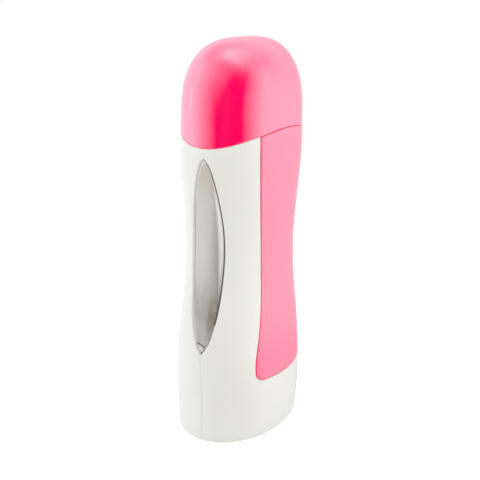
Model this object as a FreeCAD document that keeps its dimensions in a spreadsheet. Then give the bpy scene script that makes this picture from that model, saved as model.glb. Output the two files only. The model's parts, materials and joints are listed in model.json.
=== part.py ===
import FreeCAD, Part
import Sketcher
import math
import os
from types import SimpleNamespace

# Roll-on wax heater: an oval, waisted column for one 100 ml roll-on cartridge.
# Millimetres. +Z is up, the window faces -Y, the rear cover wraps the +Y end,
# and the origin is at the middle of the footprint, where the feet rest.

SIZES = [
    # outer form: half length (Y) and half width (X) of the oval at eight heights
    ("total_height", 191.5, "floor to top of the cap"),
    ("foot_gap", 0.8, "floor to the bottom edge of the shells"),
    ("foot_length", 38.5, "half length at the bottom edge"),
    ("foot_width", 28.0, "half width at the bottom edge"),
    ("ankle_height", 14.0, "above the foot's slight flare"),
    ("ankle_length", 37.7, "half length"),
    ("ankle_width", 29.2, "half width"),
    ("belly_height", 30.0, "widest part of the base"),
    ("belly_length", 38.3, "half length"),
    ("belly_width", 29.0, "half width"),
    ("thigh_height", 55.0, "longest section"),
    ("thigh_length", 39.5, "half length"),
    ("thigh_width", 26.2, "half width"),
    ("waist_height", 85.0, "narrowest part"),
    ("waist_length", 35.3, "half length"),
    ("waist_width", 23.9, "half width"),
    ("chest_height", 115.0, "above the waist"),
    ("chest_length", 34.9, "half length"),
    ("chest_width", 25.0, "half width"),
    ("shoulder_height", 145.0, "just under the cap's side seam"),
    ("shoulder_length", 36.9, "half length"),
    ("shoulder_width", 26.4, "half width"),
    ("dome_height", 156.0, "where the dome starts"),
    ("dome_length", 36.9, "half length"),
    ("dome_width", 25.9, "half width"),
    ("dome_power_long", 3.36, "roundness of the dome seen from the side"),
    ("dome_power_wide", 2.29, "roundness of the dome seen from the front"),
    # cap seam, an arch about the X axis
    ("arch_peak", 153.2, "height of the seam at mid length"),
    ("arch_radius", 89.6, "curve of the seam seen from the side"),
    ("seam_gap", 0.35, "gap between the cap and what is under it"),
    # walls
    ("shell_wall", 2.4, "half shells"),
    ("cover_wall", 2.0, "rear cover"),
    ("cap_wall", 2.2, "cap"),
    ("lip_wall", 1.5, "rebate lip that carries the cover"),
    ("lip_reach", 4.0, "how far the lip runs under the cover"),
    ("lip_root", 2.0, "how far the lip runs under the shell wall"),
    ("lip_start", 2.25, "inset of the lip's outer face, clear of the cover"),
    ("band_bottom", 138.0, "lower edge of the full band inside the top rim"),
    ("tab_height", 7.0, "snap tabs of the cover"),
    ("tab_wall", 2.0, "thickness along Y"),
    ("tab_hook", 1.2, "reach under the lip"),
    ("tab_depth", 4.6, "inset of the tab's inner face"),
    ("tab_play", 1.0, "hook to the lip's edge"),
    # rear cover outline: distance of its front edge forward of the middle
    ("cover_edge_top", 21.9, "at the shoulder and above"),
    ("cover_edge_chest", 20.1, "at the chest"),
    ("cover_edge_waist", 18.0, "at the waist"),
    ("cover_edge_thigh", 21.5, "at the thigh"),
    ("cover_edge_low", 24.4, "down to the corner"),
    ("cover_low_height", 38.0, "where the edge turns into the corner"),
    ("cover_bottom", 31.7, "lower edge of the cover"),
    ("cover_corner", 4.5, "radius of the lower front corners"),
    ("cover_gap", 0.35, "visible gap round the cover"),
    # window
    ("window_middle", 93.8, "height of its middle"),
    ("window_half_height", 46.9, "tip to middle"),
    ("window_half_width", 8.15, "at the middle"),
    ("window_side_shift", 1.5, "centre of each edge's oval, beyond the middle plane"),
    ("window_side_lean", 0.6, "lean of each oval outwards at its top, in degrees"),
    ("gasket_width", 0.5, "ring round the glazing"),
    ("gasket_inset", 0.35, "ring's face below the shell's face"),
    ("lens_inset", 0.5, "how far the glazing lies below the shell's face"),
    ("lens_depth", 3.6, "inset of the glazing's inner face"),
    ("flange_reach", 1.2, "glazing's flange behind the shell"),
    ("fit_play", 0.05, "between pieces that are pressed together"),
    ("loose_play", 0.15, "between pieces that slip together"),
    # cartridge chamber
    ("chamber_shift", -1.0, "chamber axis along Y"),
    ("chamber_width", 16.5, "half width"),
    ("chamber_length", 26.5, "half length"),
    ("chamber_corner", 10.0, "corner radius"),
    ("floor_top", 45.5, "the cartridge stands above this"),
    ("floor_wall", 2.5, "plate"),
    ("pad_wall", 1.5, "soft pad under the cartridge"),
    ("pad_play", 2.0, "pad edge to chamber wall"),
    ("floor_inset", 4.1, "plate's edge from the outer form"),
    ("trough_wall", 1.2, "sheet"),
    ("trough_top", 150.0, "upper edge of the sheet"),
    ("trough_front", -10.0, "front edges of the heated side walls"),
    # collar
    ("deck_top", 160.0, "top of the collar"),
    ("deck_wall", 2.0, "plate round the mouth"),
    ("neck_inset", 2.9, "inset of the neck above the seam"),
    ("neck_wall", 1.7, "upright wall above the seam"),
    ("skirt_wall", 1.5, "wall inside the shells"),
    ("skirt_bottom", 142.0, "lower edge of the skirt"),
    ("mouth_wall", 2.0, "tube round the mouth"),
    ("seal_width", 1.3, "ring's width on the deck"),
    ("seal_wall", 1.4, "ring's height"),
    ("seal_grip", 0.4, "how far the seal stands into the mouth"),
    # cap seat ribs
    ("rib_wall", 1.6, "thickness"),
    ("rib_reach", 6.4, "rib length measured from the outer form"),
    ("rib_height", 12.0, "from the collar's top up"),
    # base
    ("plate_bottom", 2.0, "underside above the floor"),
    ("plate_wall", 2.0, "base plate"),
    ("post_x", 15.5, "screw post axis"),
    ("post_y", 22.0, "screw post axis"),
    ("post_radius", 3.2, "screw post"),
    ("post_web", 1.6, "web between post and wall"),
    ("post_web_reach", 6.8, "post axis to web end"),
    ("post_web_top", 27.0, "upper end of the web"),
    ("screw_hole", 1.3, "pilot hole radius"),
    ("screw_shank", 1.2, "radius"),
    ("screw_head", 2.4, "radius"),
    ("screw_head_wall", 1.2, "height of the head"),
    ("screw_length", 8.0, "under the head"),
    ("foot_radius", 4.5, "rubber foot"),
    ("foot_x", 8.0, "rubber foot axis"),
    ("foot_y", 27.0, "rubber foot axis"),
    # mains inlet
    ("inlet_height", 17.0, "height of the inlet's middle"),
    ("inlet_width", 11.0, "half width"),
    ("inlet_tall", 6.5, "half height"),
    ("inlet_corner", 2.5, "corner radius"),
    ("inlet_back", 24.0, "where the moulding ends inside"),
    ("inlet_face", 0.4, "inset of the inlet's face"),
    ("inlet_floor", 2.0, "wall behind the socket"),
    ("inlet_flange", 2.0, "flange width and thickness"),
    ("inlet_flange_play", 0.8, "flange to the shell's inner face"),
    ("socket_reach", 7.7, "half width of the socket"),
    ("socket_radius", 3.6, "half height and end radius"),
    ("pin_radius", 1.15, "contact pin"),
    ("pin_pitch", 4.3, "half the distance between the pins"),
    ("pin_tip", 34.0, "outer end along Y"),
    ("pin_tail", 21.5, "inner end along Y"),
    # heater
    ("element_width", 6.5, "half width"),
    ("element_wall", 2.5, "thickness"),
    ("element_rise", 6.5, "lower end above the chamber floor"),
    ("element_tall", 34.0, "height of the heating element"),
    ("sheet_wall", 0.3, "insulating sheet"),
    ("sheet_margin", 1.0, "sheet beyond the element"),
    ("clamp_wall", 0.8, "spring plate"),
    ("clamp_margin", 6.0, "clamp plate beyond the element, each end"),
    ("clamp_screw", 3.2, "screw axis beyond the element"),
    ("thermostat_width", 4.0, "half width"),
    ("thermostat_wall", 4.0, "thickness"),
    ("thermostat_gap", 10.0, "above the element"),
    ("thermostat_tall", 19.0, "height"),
    ("fuse_radius", 2.0, "thermal fuse"),
    ("sleeve_wall", 0.5, "sleeve round the fuse"),
    ("fuse_gap", 5.0, "above the thermostat"),
    ("fuse_length", 13.0, "without its sleeve"),
    # pilot lamp
    ("board_drop", 4.8, "board's top face below the chamber floor"),
    ("board_wall", 1.2, "thickness"),
    ("board_width", 9.0, "half width"),
    ("board_length", 6.0, "half length"),
    ("board_y", -27.0, "middle of the board"),
    ("lamp_y", -31.0, "lamp axis"),
    ("lamp_radius", 1.5, "barrel"),
    ("lamp_flange", 1.9, "flange radius"),
    ("lamp_flange_wall", 0.8, "flange height"),
    ("lamp_rise", 2.5, "lamp's tip above the chamber floor"),
    ("lead_radius", 0.3, "lamp's wire ends"),
    ("lead_pitch", 0.9, "half the distance between them"),
    ("standoff_x", 6.0, "board standoff axis"),
    ("standoff_y", -25.0, "board standoff axis"),
    ("standoff_radius", 1.8, "board standoff"),
    ("resistor_radius", 1.1, "body"),
    ("resistor_length", 6.0, "body"),
    ("resistor_y", -26.6, "axis of the resistor"),
    # internal leads
    ("wire_radius", 0.8, "over the insulation"),
    ("wire_notch", 11.0, "half width of the notch for the leads"),
    ("wire_notch_start", 0.4, "behind the trough"),
]


class Size:
    """A number together with the sheet expression that it comes from."""

    def __init__(self, number, text):
        self.number = number
        self.text = text

    def join(self, sign, other, number):
        return Size(number, f"({self.text} {sign} {as_size(other).text})")

    def __add__(self, other):
        return self.join("+", other, self.number + as_size(other).number)

    def __sub__(self, other):
        return self.join("-", other, self.number - as_size(other).number)

    def __mul__(self, other):
        return self.join("*", other, self.number * as_size(other).number)

    def __truediv__(self, other):
        return self.join("/", other, self.number / as_size(other).number)

    def __pow__(self, other):
        return self.join("^", other, self.number ** as_size(other).number)

    def __neg__(self):
        return Size(-self.number, f"(-1 * {self.text})")

    def __radd__(self, other):
        return as_size(other) + self

    def __rsub__(self, other):
        return as_size(other) - self

    def __rmul__(self, other):
        return as_size(other) * self

    def __rtruediv__(self, other):
        return as_size(other) / self


def as_size(value):
    return value if isinstance(value, Size) else Size(float(value), repr(float(value)))


doc = FreeCAD.newDocument("RollOnWaxHeater")


def fill_sheet():
    sheet = doc.addObject("Spreadsheet::Sheet", "Sizes")
    for row, (alias, number, note) in enumerate(SIZES, start=1):
        sheet.set(f"A{row}", alias)
        sheet.set(f"B{row}", str(number))
        sheet.set(f"C{row}", note)
        sheet.setAlias(f"B{row}", alias)
    doc.recompute()
    return SimpleNamespace(**{alias: Size(sheet.get(alias), f"Sizes.{alias}") for alias, _, _ in SIZES})


size = fill_sheet()

# ---------------------------------------------------------------- document helpers

TURNS = {
    "X": FreeCAD.Rotation(FreeCAD.Vector(0, 1, 0), 90),
    "Y": FreeCAD.Rotation(FreeCAD.Vector(1, 0, 0), -90),
    "Z": FreeCAD.Rotation(),
}
QUARTER_TURN = FreeCAD.Rotation(FreeCAD.Vector(0, 0, 1), 90)
UPRIGHT = FreeCAD.Rotation(FreeCAD.Vector(1, 1, 1), -120)  # turns X up, Y to X and Z to Y
WIDE = 120.0  # reach of a cutting tool that has to clear the whole object


def add(kind, name, **values):
    thing = doc.addObject(kind, name)
    for prop, value in values.items():
        if isinstance(value, Size):
            thing.setExpression(prop, value.text)
        else:
            setattr(thing, prop, value)
    return thing


def place(thing, x=0, y=0, z=0, turn=FreeCAD.Rotation()):
    spots = {"x": as_size(x), "y": as_size(y), "z": as_size(z)}
    thing.Placement = FreeCAD.Placement(FreeCAD.Vector(*[spot.number for spot in spots.values()]), turn)
    for axis, spot in spots.items():
        if "Sizes." in spot.text:
            thing.setExpression(f"Placement.Base.{axis}", spot.text)
    return thing


def block(name, x, y, z):
    """A box between the pairs x, y and z."""
    low = [as_size(pair[0]) for pair in (x, y, z)]
    high = [as_size(pair[1]) for pair in (x, y, z)]
    box = add("Part::Box", name, Length=high[0] - low[0], Width=high[1] - low[1], Height=high[2] - low[2])
    return place(box, *low)


def rod(name, radius, length, x=0, y=0, z=0, axis="Z"):
    """A cylinder that starts at x, y, z and runs along the positive axis."""
    cylinder = add("Part::Cylinder", name, Radius=as_size(radius), Height=as_size(length))
    return place(cylinder, x, y, z, TURNS[axis])


def cut(name, base, *tools):
    """The base less each tool in turn; the last cut carries the name."""
    for index, tool in enumerate(tools[:-1]):
        base = add("Part::Cut", f"{name}_cut_{index}", Base=base, Tool=tool)
    return add("Part::Cut", name, Base=base, Tool=tools[-1])


def common(name, *things):
    return add("Part::MultiCommon", name, Shapes=list(things))


def fuse(name, *things):
    return add("Part::MultiFuse", name, Shapes=list(things))


def group(name, things):
    return add("Part::Compound", name, Links=list(things))


# ---------------------------------------------------------------- sketch helpers

def new_body(name):
    return doc.addObject("PartDesign::Body", name)


def origin_plane(body, role):
    return next(feature for feature in body.Origin.OriginFeatures if feature.Role == role)


def body_sketch(body, name, role="XY_Plane", offset=0):
    sketch = body.newObject("Sketcher::SketchObject", name)
    sketch.AttachmentSupport = [(origin_plane(body, role), "")]
    sketch.MapMode = "FlatFace"
    sketch.setExpression("AttachmentOffset.Base.z", as_size(offset).text)
    return sketch


def fix(sketch, kind, *where, value):
    """A dimension of a sketch, bound to the sheet."""
    value = as_size(value)
    index = sketch.addConstraint(Sketcher.Constraint(kind, *where, value.number))
    sketch.setExpression(f"Constraints[{index}]", value.text)


def draw_circle(sketch, x, y, radius):
    x, y, radius = as_size(x), as_size(y), as_size(radius)
    centre = FreeCAD.Vector(x.number, y.number, 0)
    circle = sketch.addGeometry(Part.Circle(centre, FreeCAD.Vector(0, 0, 1), radius.number), False)
    fix(sketch, "DistanceX", -1, 1, circle, 3, value=x)
    fix(sketch, "DistanceY", -1, 1, circle, 3, value=y)
    fix(sketch, "Radius", circle, value=radius)


def draw_rounded(sketch, left, right, low, high, radius):
    """A rectangle with four equal round corners."""
    left, right, low, high, radius = [as_size(value) for value in (left, right, low, high, radius)]
    x0, x1, y0, y1, r = left.number, right.number, low.number, high.number, radius.number
    spot = FreeCAD.Vector
    lines = [
        Part.LineSegment(spot(x0 + r, y0, 0), spot(x1 - r, y0, 0)),
        Part.LineSegment(spot(x1, y0 + r, 0), spot(x1, y1 - r, 0)),
        Part.LineSegment(spot(x1 - r, y1, 0), spot(x0 + r, y1, 0)),
        Part.LineSegment(spot(x0, y1 - r, 0), spot(x0, y0 + r, 0)),
    ]
    centres = [spot(x, y, 0) for x, y in
               ((x1 - r, y0 + r), (x1 - r, y1 - r), (x0 + r, y1 - r), (x0 + r, y0 + r))]
    line_ids = [sketch.addGeometry(line, False) for line in lines]
    arc_ids = []
    for turn, centre in enumerate(centres):
        circle = Part.Circle(centre, spot(0, 0, 1), r)
        start = math.pi / 2 * (turn - 1)
        arc_ids.append(sketch.addGeometry(Part.ArcOfCircle(circle, start, start + math.pi / 2), False))
    for turn in range(4):
        after = line_ids[(turn + 1) % 4]
        sketch.addConstraint(Sketcher.Constraint("Tangent", line_ids[turn], 2, arc_ids[turn], 1))
        sketch.addConstraint(Sketcher.Constraint("Tangent", arc_ids[turn], 2, after, 1))
        sketch.addConstraint(Sketcher.Constraint(("Horizontal", "Vertical")[turn % 2], line_ids[turn]))
    for turn in range(1, 4):
        sketch.addConstraint(Sketcher.Constraint("Equal", arc_ids[0], arc_ids[turn]))
    fix(sketch, "Radius", arc_ids[0], value=radius)
    fix(sketch, "DistanceY", -1, 1, line_ids[0], 1, value=low)
    fix(sketch, "DistanceX", -1, 1, line_ids[1], 1, value=right)
    fix(sketch, "DistanceY", -1, 1, line_ids[2], 1, value=high)
    fix(sketch, "DistanceX", -1, 1, line_ids[3], 1, value=left)


def pad(body, name, sketch, length, backwards=False):
    feature = body.newObject("PartDesign::Pad", name)
    feature.Profile = sketch
    feature.setExpression("Length", as_size(length).text)
    feature.Reversed = backwards
    sketch.Visibility = False
    return feature


def pocket(body, name, sketch, length, backwards=False):
    feature = body.newObject("PartDesign::Pocket", name)
    feature.Profile = sketch
    feature.setExpression("Length", as_size(length).text)
    feature.Reversed = backwards
    return feature


def rounded_prism(name, x, y, z, radius):
    """A Pad with round vertical edges between the pairs x, y and z."""
    body = new_body(name)
    sketch = body_sketch(body, f"{name}_outline", offset=z[0])
    draw_rounded(sketch, x[0], x[1], y[0], y[1], radius)
    pad(body, f"{name}_pad", sketch, as_size(z[1]) - z[0])
    return body


# ---------------------------------------------------------------- outer form

STATIONS = ("foot", "ankle", "belly", "thigh", "waist", "chest", "shoulder", "dome")
DOME_ANGLES = (12, 24, 36, 48, 60, 70, 79, 86, 89)  # degrees up the dome, for its sections
columns = {}


def oval(name, half_length, half_width, z):
    ellipse = add("Part::Ellipse", name, MajorRadius=half_length, MinorRadius=half_width)
    return place(ellipse, 0, 0, z, QUARTER_TURN)


def station(word, measure):
    return size.foot_gap if (word, measure) == ("foot", "height") else getattr(size, f"{word}_{measure}")


def column(inset=as_size(0)):
    """The outer form as a solid, with its surface moved inwards by the inset."""
    if inset.text in columns:
        return columns[inset.text]
    tag = f"column_{len(columns)}"
    sections = []
    for word in STATIONS:
        long, wide = station(word, "length") - inset, station(word, "width") - inset
        sections.append(oval(f"{tag}_{word}", long, wide, station(word, "height")))
    rise = size.total_height - inset - size.dome_height
    power = 2 / size.dome_power_long
    for angle in DOME_ANGLES:
        share = as_size(math.sin(math.radians(angle))) ** power
        shrink = as_size(math.cos(math.radians(angle))) ** power
        narrow = (1 - share ** size.dome_power_wide) ** (1 / size.dome_power_wide)
        long, wide = (size.dome_length - inset) * shrink, (size.dome_width - inset) * narrow
        sections.append(oval(f"{tag}_dome_{angle}", long, wide, size.dome_height + rise * share))
    columns[inset.text] = add("Part::Loft", tag, Sections=sections, Solid=True)
    return columns[inset.text]


def skin(name, outer, inner):
    """The layer of the column between two insets."""
    return cut(name, column(as_size(outer)), column(as_size(inner)))


def arch(name, grow):
    """Everything under the cap seam, with the seam moved up by grow."""
    radius = size.arch_radius + grow
    return rod(name, radius, 2 * WIDE, -WIDE, 0, size.arch_peak - size.arch_radius, "X")


def window_side(name, side, grow):
    """An upright oval prism along Y; one of its long edges is the window's edge on that side."""
    shift = size.window_side_shift
    half_width = size.window_half_width + shift
    half_height = size.window_half_height / (1 - (shift / half_width) ** 2) ** as_size(0.5)
    ellipse = add("Part::Ellipse", f"{name}_oval", MajorRadius=half_height + grow,
                  MinorRadius=half_width + grow)
    lean = FreeCAD.Rotation(FreeCAD.Vector(0, 1, 0), side * size.window_side_lean.number)
    place(ellipse, -side * shift, -WIDE, size.window_middle, lean * UPRIGHT)
    return add("Part::Extrusion", name, Base=ellipse, Dir=FreeCAD.Vector(0, 1, 0), DirMode="Custom",
               LengthFwd=WIDE, Solid=True)


def lens_prism(name, grow):
    """The window's pointed outline through the object's front, offset outwards by grow."""
    sides = [window_side(f"{name}_{side + 1}", side, as_size(grow)) for side in (-1, 1)]
    return common(name, *sides)


def cover_outline(name, shrink):
    """The rear cover's side outline as a prism along X, with its edges moved in by shrink."""
    shrink = as_size(shrink).number
    marks = [
        (size.cover_edge_top, size.shoulder_height),
        (size.cover_edge_chest, size.chest_height),
        (size.cover_edge_waist, size.waist_height),
        (size.cover_edge_thigh, size.thigh_height),
        (size.cover_edge_low, size.cover_low_height),
    ]
    edge = [FreeCAD.Vector(0, shrink - mark.number, height.number) for mark, height in marks]
    down = FreeCAD.Vector(0, 0, -1)
    curve = Part.BSplineCurve()
    curve.interpolate(Points=edge, InitialTangent=down, FinalTangent=down)
    radius = max(size.cover_corner.number - shrink, size.cover_gap.number)
    low = size.cover_bottom.number + shrink
    turn_in = radius * (1 - math.sqrt(0.5))
    corner = [
        FreeCAD.Vector(0, edge[-1].y, low + radius),
        FreeCAD.Vector(0, edge[-1].y + turn_in, low + turn_in),
        FreeCAD.Vector(0, edge[-1].y + radius, low),
    ]
    back_low, back_top = FreeCAD.Vector(0, WIDE, low), FreeCAD.Vector(0, WIDE, 2 * WIDE)
    front_top = FreeCAD.Vector(0, edge[0].y, 2 * WIDE)
    outline = Part.Wire([
        curve.toShape(),
        Part.makeLine(edge[-1], corner[0]),
        Part.Arc(*corner).toShape(),
        Part.makeLine(corner[2], back_low),
        Part.makeLine(back_low, back_top),
        Part.makeLine(back_top, front_top),
        Part.makeLine(front_top, edge[0]),
    ])
    prism = doc.addObject("Part::Feature", name)
    prism.Shape = Part.Face(outline).extrude(FreeCAD.Vector(2 * WIDE, 0, 0))
    prism.Placement = FreeCAD.Placement(FreeCAD.Vector(-WIDE, 0, 0), FreeCAD.Rotation())
    return prism


# ---------------------------------------------------------------- housing

CORNERS = [(-1, -1), (1, -1), (-1, 1), (1, 1)]
AROUND = (-WIDE, WIDE)


def posts(side):
    """The two posts of one half shell, with the webs that tie them to the wall."""
    made = []
    for end in (-1, 1):
        x, y = side * size.post_x, end * size.post_y
        tag = f"post_{side + 1}_{end + 1}"
        low, high = size.plate_bottom + size.plate_wall, size.floor_top - size.floor_wall
        made.append(rod(tag, size.post_radius, high - low, x, y, low))
        reach = (x, x + size.post_web_reach) if side > 0 else (x - size.post_web_reach, x)
        half = size.post_web / 2
        made.append(block(f"{tag}_web", reach, (y - half, y + half), (low, size.post_web_top)))
    return made


def screw_bores(name, radius, low, high, corners=CORNERS):
    """Bores on the axes of the posts."""
    return [rod(f"{name}_{index}", radius, high - low, x * size.post_x, y * size.post_y, low)
            for index, (x, y) in enumerate(corners)]


def inlet_prism(name, play):
    """The rounded outline of the mains inlet, run out through the back wall."""
    body = new_body(name)
    sketch = body_sketch(body, f"{name}_outline", "XZ_Plane", -WIDE)
    wide, tall = size.inlet_width + play, size.inlet_tall + play
    draw_rounded(sketch, -wide, wide, size.inlet_height - tall, size.inlet_height + tall, size.inlet_corner)
    pad(body, f"{name}_pad", sketch, WIDE - size.inlet_back)
    return body


def housing_shell():
    """Both half shells in one, before they are parted on the YZ plane."""
    wall = cut("wall_open", skin("wall_skin", 0, size.shell_wall), cover_outline("cover_hole", 0))
    lip_skin = skin("lip_skin", size.lip_start, size.lip_start + size.lip_wall)
    reveal = cover_outline("lip_reveal", size.lip_reach)
    edge = cut("lip_edge", cover_outline("lip_root", -size.lip_root), reveal)
    band = block("top_band", AROUND, AROUND, (size.band_bottom, 2 * WIDE))
    lip = common("lip", lip_skin, fuse("lip_zone", edge, band))
    lip = cut("lip_clear", lip, lens_prism("flange_room", size.flange_reach + size.loose_play))
    under_seam = arch("under_seam", -size.seam_gap / 2)
    shell = common("shell_under_seam", fuse("shell_whole", wall, lip), under_seam)
    inlet_opening = inlet_prism("inlet_opening", size.loose_play)
    return cut("shell_windowed", shell, lens_prism("window_hole", 0), inlet_opening)


def half_shells():
    whole = housing_shell()
    for side, label in ((-1, "left_shell"), (1, "right_shell")):
        reach = (-WIDE, 0) if side < 0 else (0, WIDE)
        half = common(f"{label}_half", whole, block(f"{label}_space", reach, AROUND, (0, 2 * WIDE)))
        solid = fuse(f"{label}_solid", half, *posts(side))
        corners = [corner for corner in CORNERS if corner[0] == side]
        cut(label, solid, *screw_bores(f"{label}_bore", size.screw_hole, as_size(0), size.floor_top, corners))


def cover_tabs():
    """Snap tabs that hook behind the lip, three on each broad side."""
    hook_skin = skin("hook_skin", size.lip_start + size.lip_wall + size.loose_play, size.tab_depth)
    tab_skin = skin("tab_skin", size.cover_wall / 2, size.tab_depth)
    made = []
    for word in ("thigh", "waist", "chest"):
        start = size.lip_reach + size.tab_play - getattr(size, f"cover_edge_{word}")
        middle = station(word, "height")
        heights = (middle - size.tab_height / 2, middle + size.tab_height / 2)
        post = block(f"tab_post_{word}", AROUND, (start, start + size.tab_wall), heights)
        hook = block(f"tab_hook_{word}", AROUND, (start - size.tab_play - size.tab_hook, start), heights)
        made.append(common(f"tab_{word}", tab_skin, post))
        made.append(common(f"tab_tip_{word}", hook_skin, hook))
    return made


def rear_cover():
    skin_whole = skin("cover_skin", 0, size.cover_wall)
    zone = common("cover_zone", skin_whole, cover_outline("cover_edge", size.cover_gap))
    below = common("cover_below_seam", zone, arch("cover_seam", -size.seam_gap / 2))
    fuse("rear_cover", below, *cover_tabs())


# ---------------------------------------------------------------- window

def window():
    plug = skin("lens_plug_skin", size.lens_inset, size.lens_depth)
    plug = common("lens_plug", plug, lens_prism("lens_edge", -size.gasket_width - size.fit_play))
    flange_skin = skin("lens_flange_skin", size.shell_wall + size.loose_play, size.lens_depth)
    flange = common("lens_flange", flange_skin, lens_prism("flange_edge", size.flange_reach))
    fuse("window_lens", plug, flange)
    ring_skin = skin("gasket_skin", size.gasket_inset, size.shell_wall + size.loose_play - size.fit_play)
    ring = common("gasket_outer", ring_skin, lens_prism("gasket_edge", -size.fit_play))
    cut("window_gasket", ring, lens_prism("gasket_hole", -size.gasket_width))


# ---------------------------------------------------------------- chamber and collar

def chamber_prism(name, grow, low, high):
    """The cartridge's outline, moved outwards by grow, between two heights."""
    wide, long = size.chamber_width + grow, size.chamber_length + grow
    ends = (size.chamber_shift - long, size.chamber_shift + long)
    return rounded_prism(name, (-wide, wide), ends, (low, high), size.chamber_corner + grow)


def slab(name, inset, low, high):
    """The column's full section between two heights."""
    return common(name, column(inset), block(f"{name}_block", AROUND, AROUND, (low, high)))


def neck_collar():
    top = size.deck_top
    above_seam = arch("neck_seam", as_size(0))
    neck_skin = skin("neck_skin", size.neck_inset, size.neck_inset + size.neck_wall)
    neck = cut("neck_above", neck_skin, above_seam, block("over_neck", AROUND, AROUND, (top, 2 * WIDE)))
    skirt_start = size.lip_start + size.lip_wall + size.loose_play
    skirt_skin = skin("skirt_skin", skirt_start, skirt_start + size.skirt_wall)
    skirt = common("skirt", skirt_skin, block("skirt_block", AROUND, AROUND, (size.skirt_bottom, top)))
    deck = slab("deck", size.neck_inset, top - size.deck_wall, top)
    tube = common("mouth_tube", chamber_prism("mouth_outer", size.mouth_wall, size.trough_top, top),
                  column(skirt_start))
    trough_room = chamber_prism("trough_room", size.trough_wall + size.seam_gap, as_size(0), size.trough_top)
    mouth = chamber_prism("mouth_hole", as_size(0), as_size(0), 2 * as_size(WIDE))
    lens_room = common("lens_room", lens_prism("lens_room_edge", size.flange_reach + size.seam_gap),
                       block("lens_room_block", AROUND, (-WIDE, 0), (0, size.trough_top)))
    cut("neck_collar", fuse("collar_whole", neck, skirt, deck, tube), trough_room, mouth, lens_room)


def mouth_seal():
    low, high = size.deck_top, size.deck_top + size.seal_wall
    ring = chamber_prism("seal_outer", size.seal_width, low, high)
    cut("mouth_seal", ring, chamber_prism("seal_inner", -size.seal_grip, low, high))


def heater_trough():
    low, high = size.floor_top, size.trough_top
    outer = chamber_prism("trough_outer", size.trough_wall, low, high)
    inner = chamber_prism("trough_inner", as_size(0), low, high)
    front = block("trough_front_cut", AROUND, (-WIDE, size.trough_front), (0, 2 * WIDE))
    holes = [rod(f"trough_hole_{index}", size.screw_shank, WIDE, 0, 0, height, "Y")
             for index, height in enumerate(clamp_screw_heights())]
    cut("heater_trough", outer, inner, front, *holes)


def chamber_floor():
    low, high = size.floor_top - size.floor_wall, size.floor_top
    plate = slab("floor_plate", size.floor_inset, low, high)
    legs = [rod(f"standoff_{side + 1}", size.standoff_radius, size.board_drop,
                side * size.standoff_x, size.standoff_y, board_top()) for side in (-1, 1)]
    lamp = rod("lamp_window", size.lamp_radius + size.loose_play, 2 * size.floor_wall, 0, size.lamp_y,
               low - 1)
    notch_y = trough_back() + size.wire_notch_start
    notch = block("lead_notch", (-size.wire_notch, size.wire_notch), (notch_y, WIDE), (low, high))
    bores = screw_bores("floor_bore", size.screw_shank + size.loose_play, low - 1, high + 1)
    sinks = screw_bores("floor_sink", size.screw_head + size.loose_play, high - size.screw_head_wall,
                        high + 1)
    cut("chamber_floor", fuse("floor_whole", plate, *legs), lamp, notch, *bores, *sinks)


def rest_pad():
    chamber_prism("rest_pad", -size.pad_play, size.floor_top, size.floor_top + size.pad_wall)


# ---------------------------------------------------------------- cap

def cap():
    dome = cut("cap_dome", skin("cap_skin", 0, size.cap_wall), arch("cap_seam", size.seam_gap / 2))
    half, low = size.rib_wall / 2, size.deck_top
    heights = (low, low + size.rib_height)
    long, wide = size.dome_length - size.rib_reach, size.dome_width - size.rib_reach
    ribs = [
        block("rib_front", (-half, half), (-WIDE, -long), heights),
        block("rib_back", (-half, half), (long, WIDE), heights),
        block("rib_left", (-WIDE, -wide), (-half, half), heights),
        block("rib_right", (wide, WIDE), (-half, half), heights),
    ]
    inside = common("ribs_inside", fuse("ribs", *ribs), column(size.cap_wall / 2))
    fuse("cap", dome, inside)


# ---------------------------------------------------------------- base

def base_plate():
    low, high = size.plate_bottom, size.plate_bottom + size.plate_wall
    plate = slab("base_blank", size.shell_wall + size.loose_play, low, high)
    bores = screw_bores("base_bore", size.screw_shank + size.loose_play, low - 1, high + 1)
    cut("base_plate", plate, *bores)


def rubber_feet():
    group("rubber_feet", [rod(f"foot_{index}", size.foot_radius, size.plate_bottom,
                              x * size.foot_x, y * size.foot_y, 0)
                          for index, (x, y) in enumerate(CORNERS)])


def screws(name, seat, upwards):
    """Four pan-head screws in the posts: heads on the seat, shanks into the post."""
    made = []
    for index, (x, y) in enumerate(CORNERS):
        tag = f"{name}_{index}"
        x, y = x * size.post_x, y * size.post_y
        head_low = seat - size.screw_head_wall if upwards else seat
        shank_low = seat if upwards else seat - size.screw_length
        head = rod(f"{tag}_head", size.screw_head, size.screw_head_wall, x, y, head_low)
        shank = rod(f"{tag}_shank", size.screw_shank, size.screw_length, x, y, shank_low)
        made.append(fuse(tag, head, shank))
    group(name, made)


# ---------------------------------------------------------------- mains inlet

def socket_prism(name, low, high):
    body = new_body(name)
    sketch = body_sketch(body, f"{name}_outline", "XZ_Plane", -high)
    wide, tall = size.socket_reach, size.socket_radius
    middle = size.inlet_height
    draw_rounded(sketch, -wide, wide, middle - tall, middle + tall, tall - size.fit_play)
    pad(body, f"{name}_pad", sketch, high - low)
    return body


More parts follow.
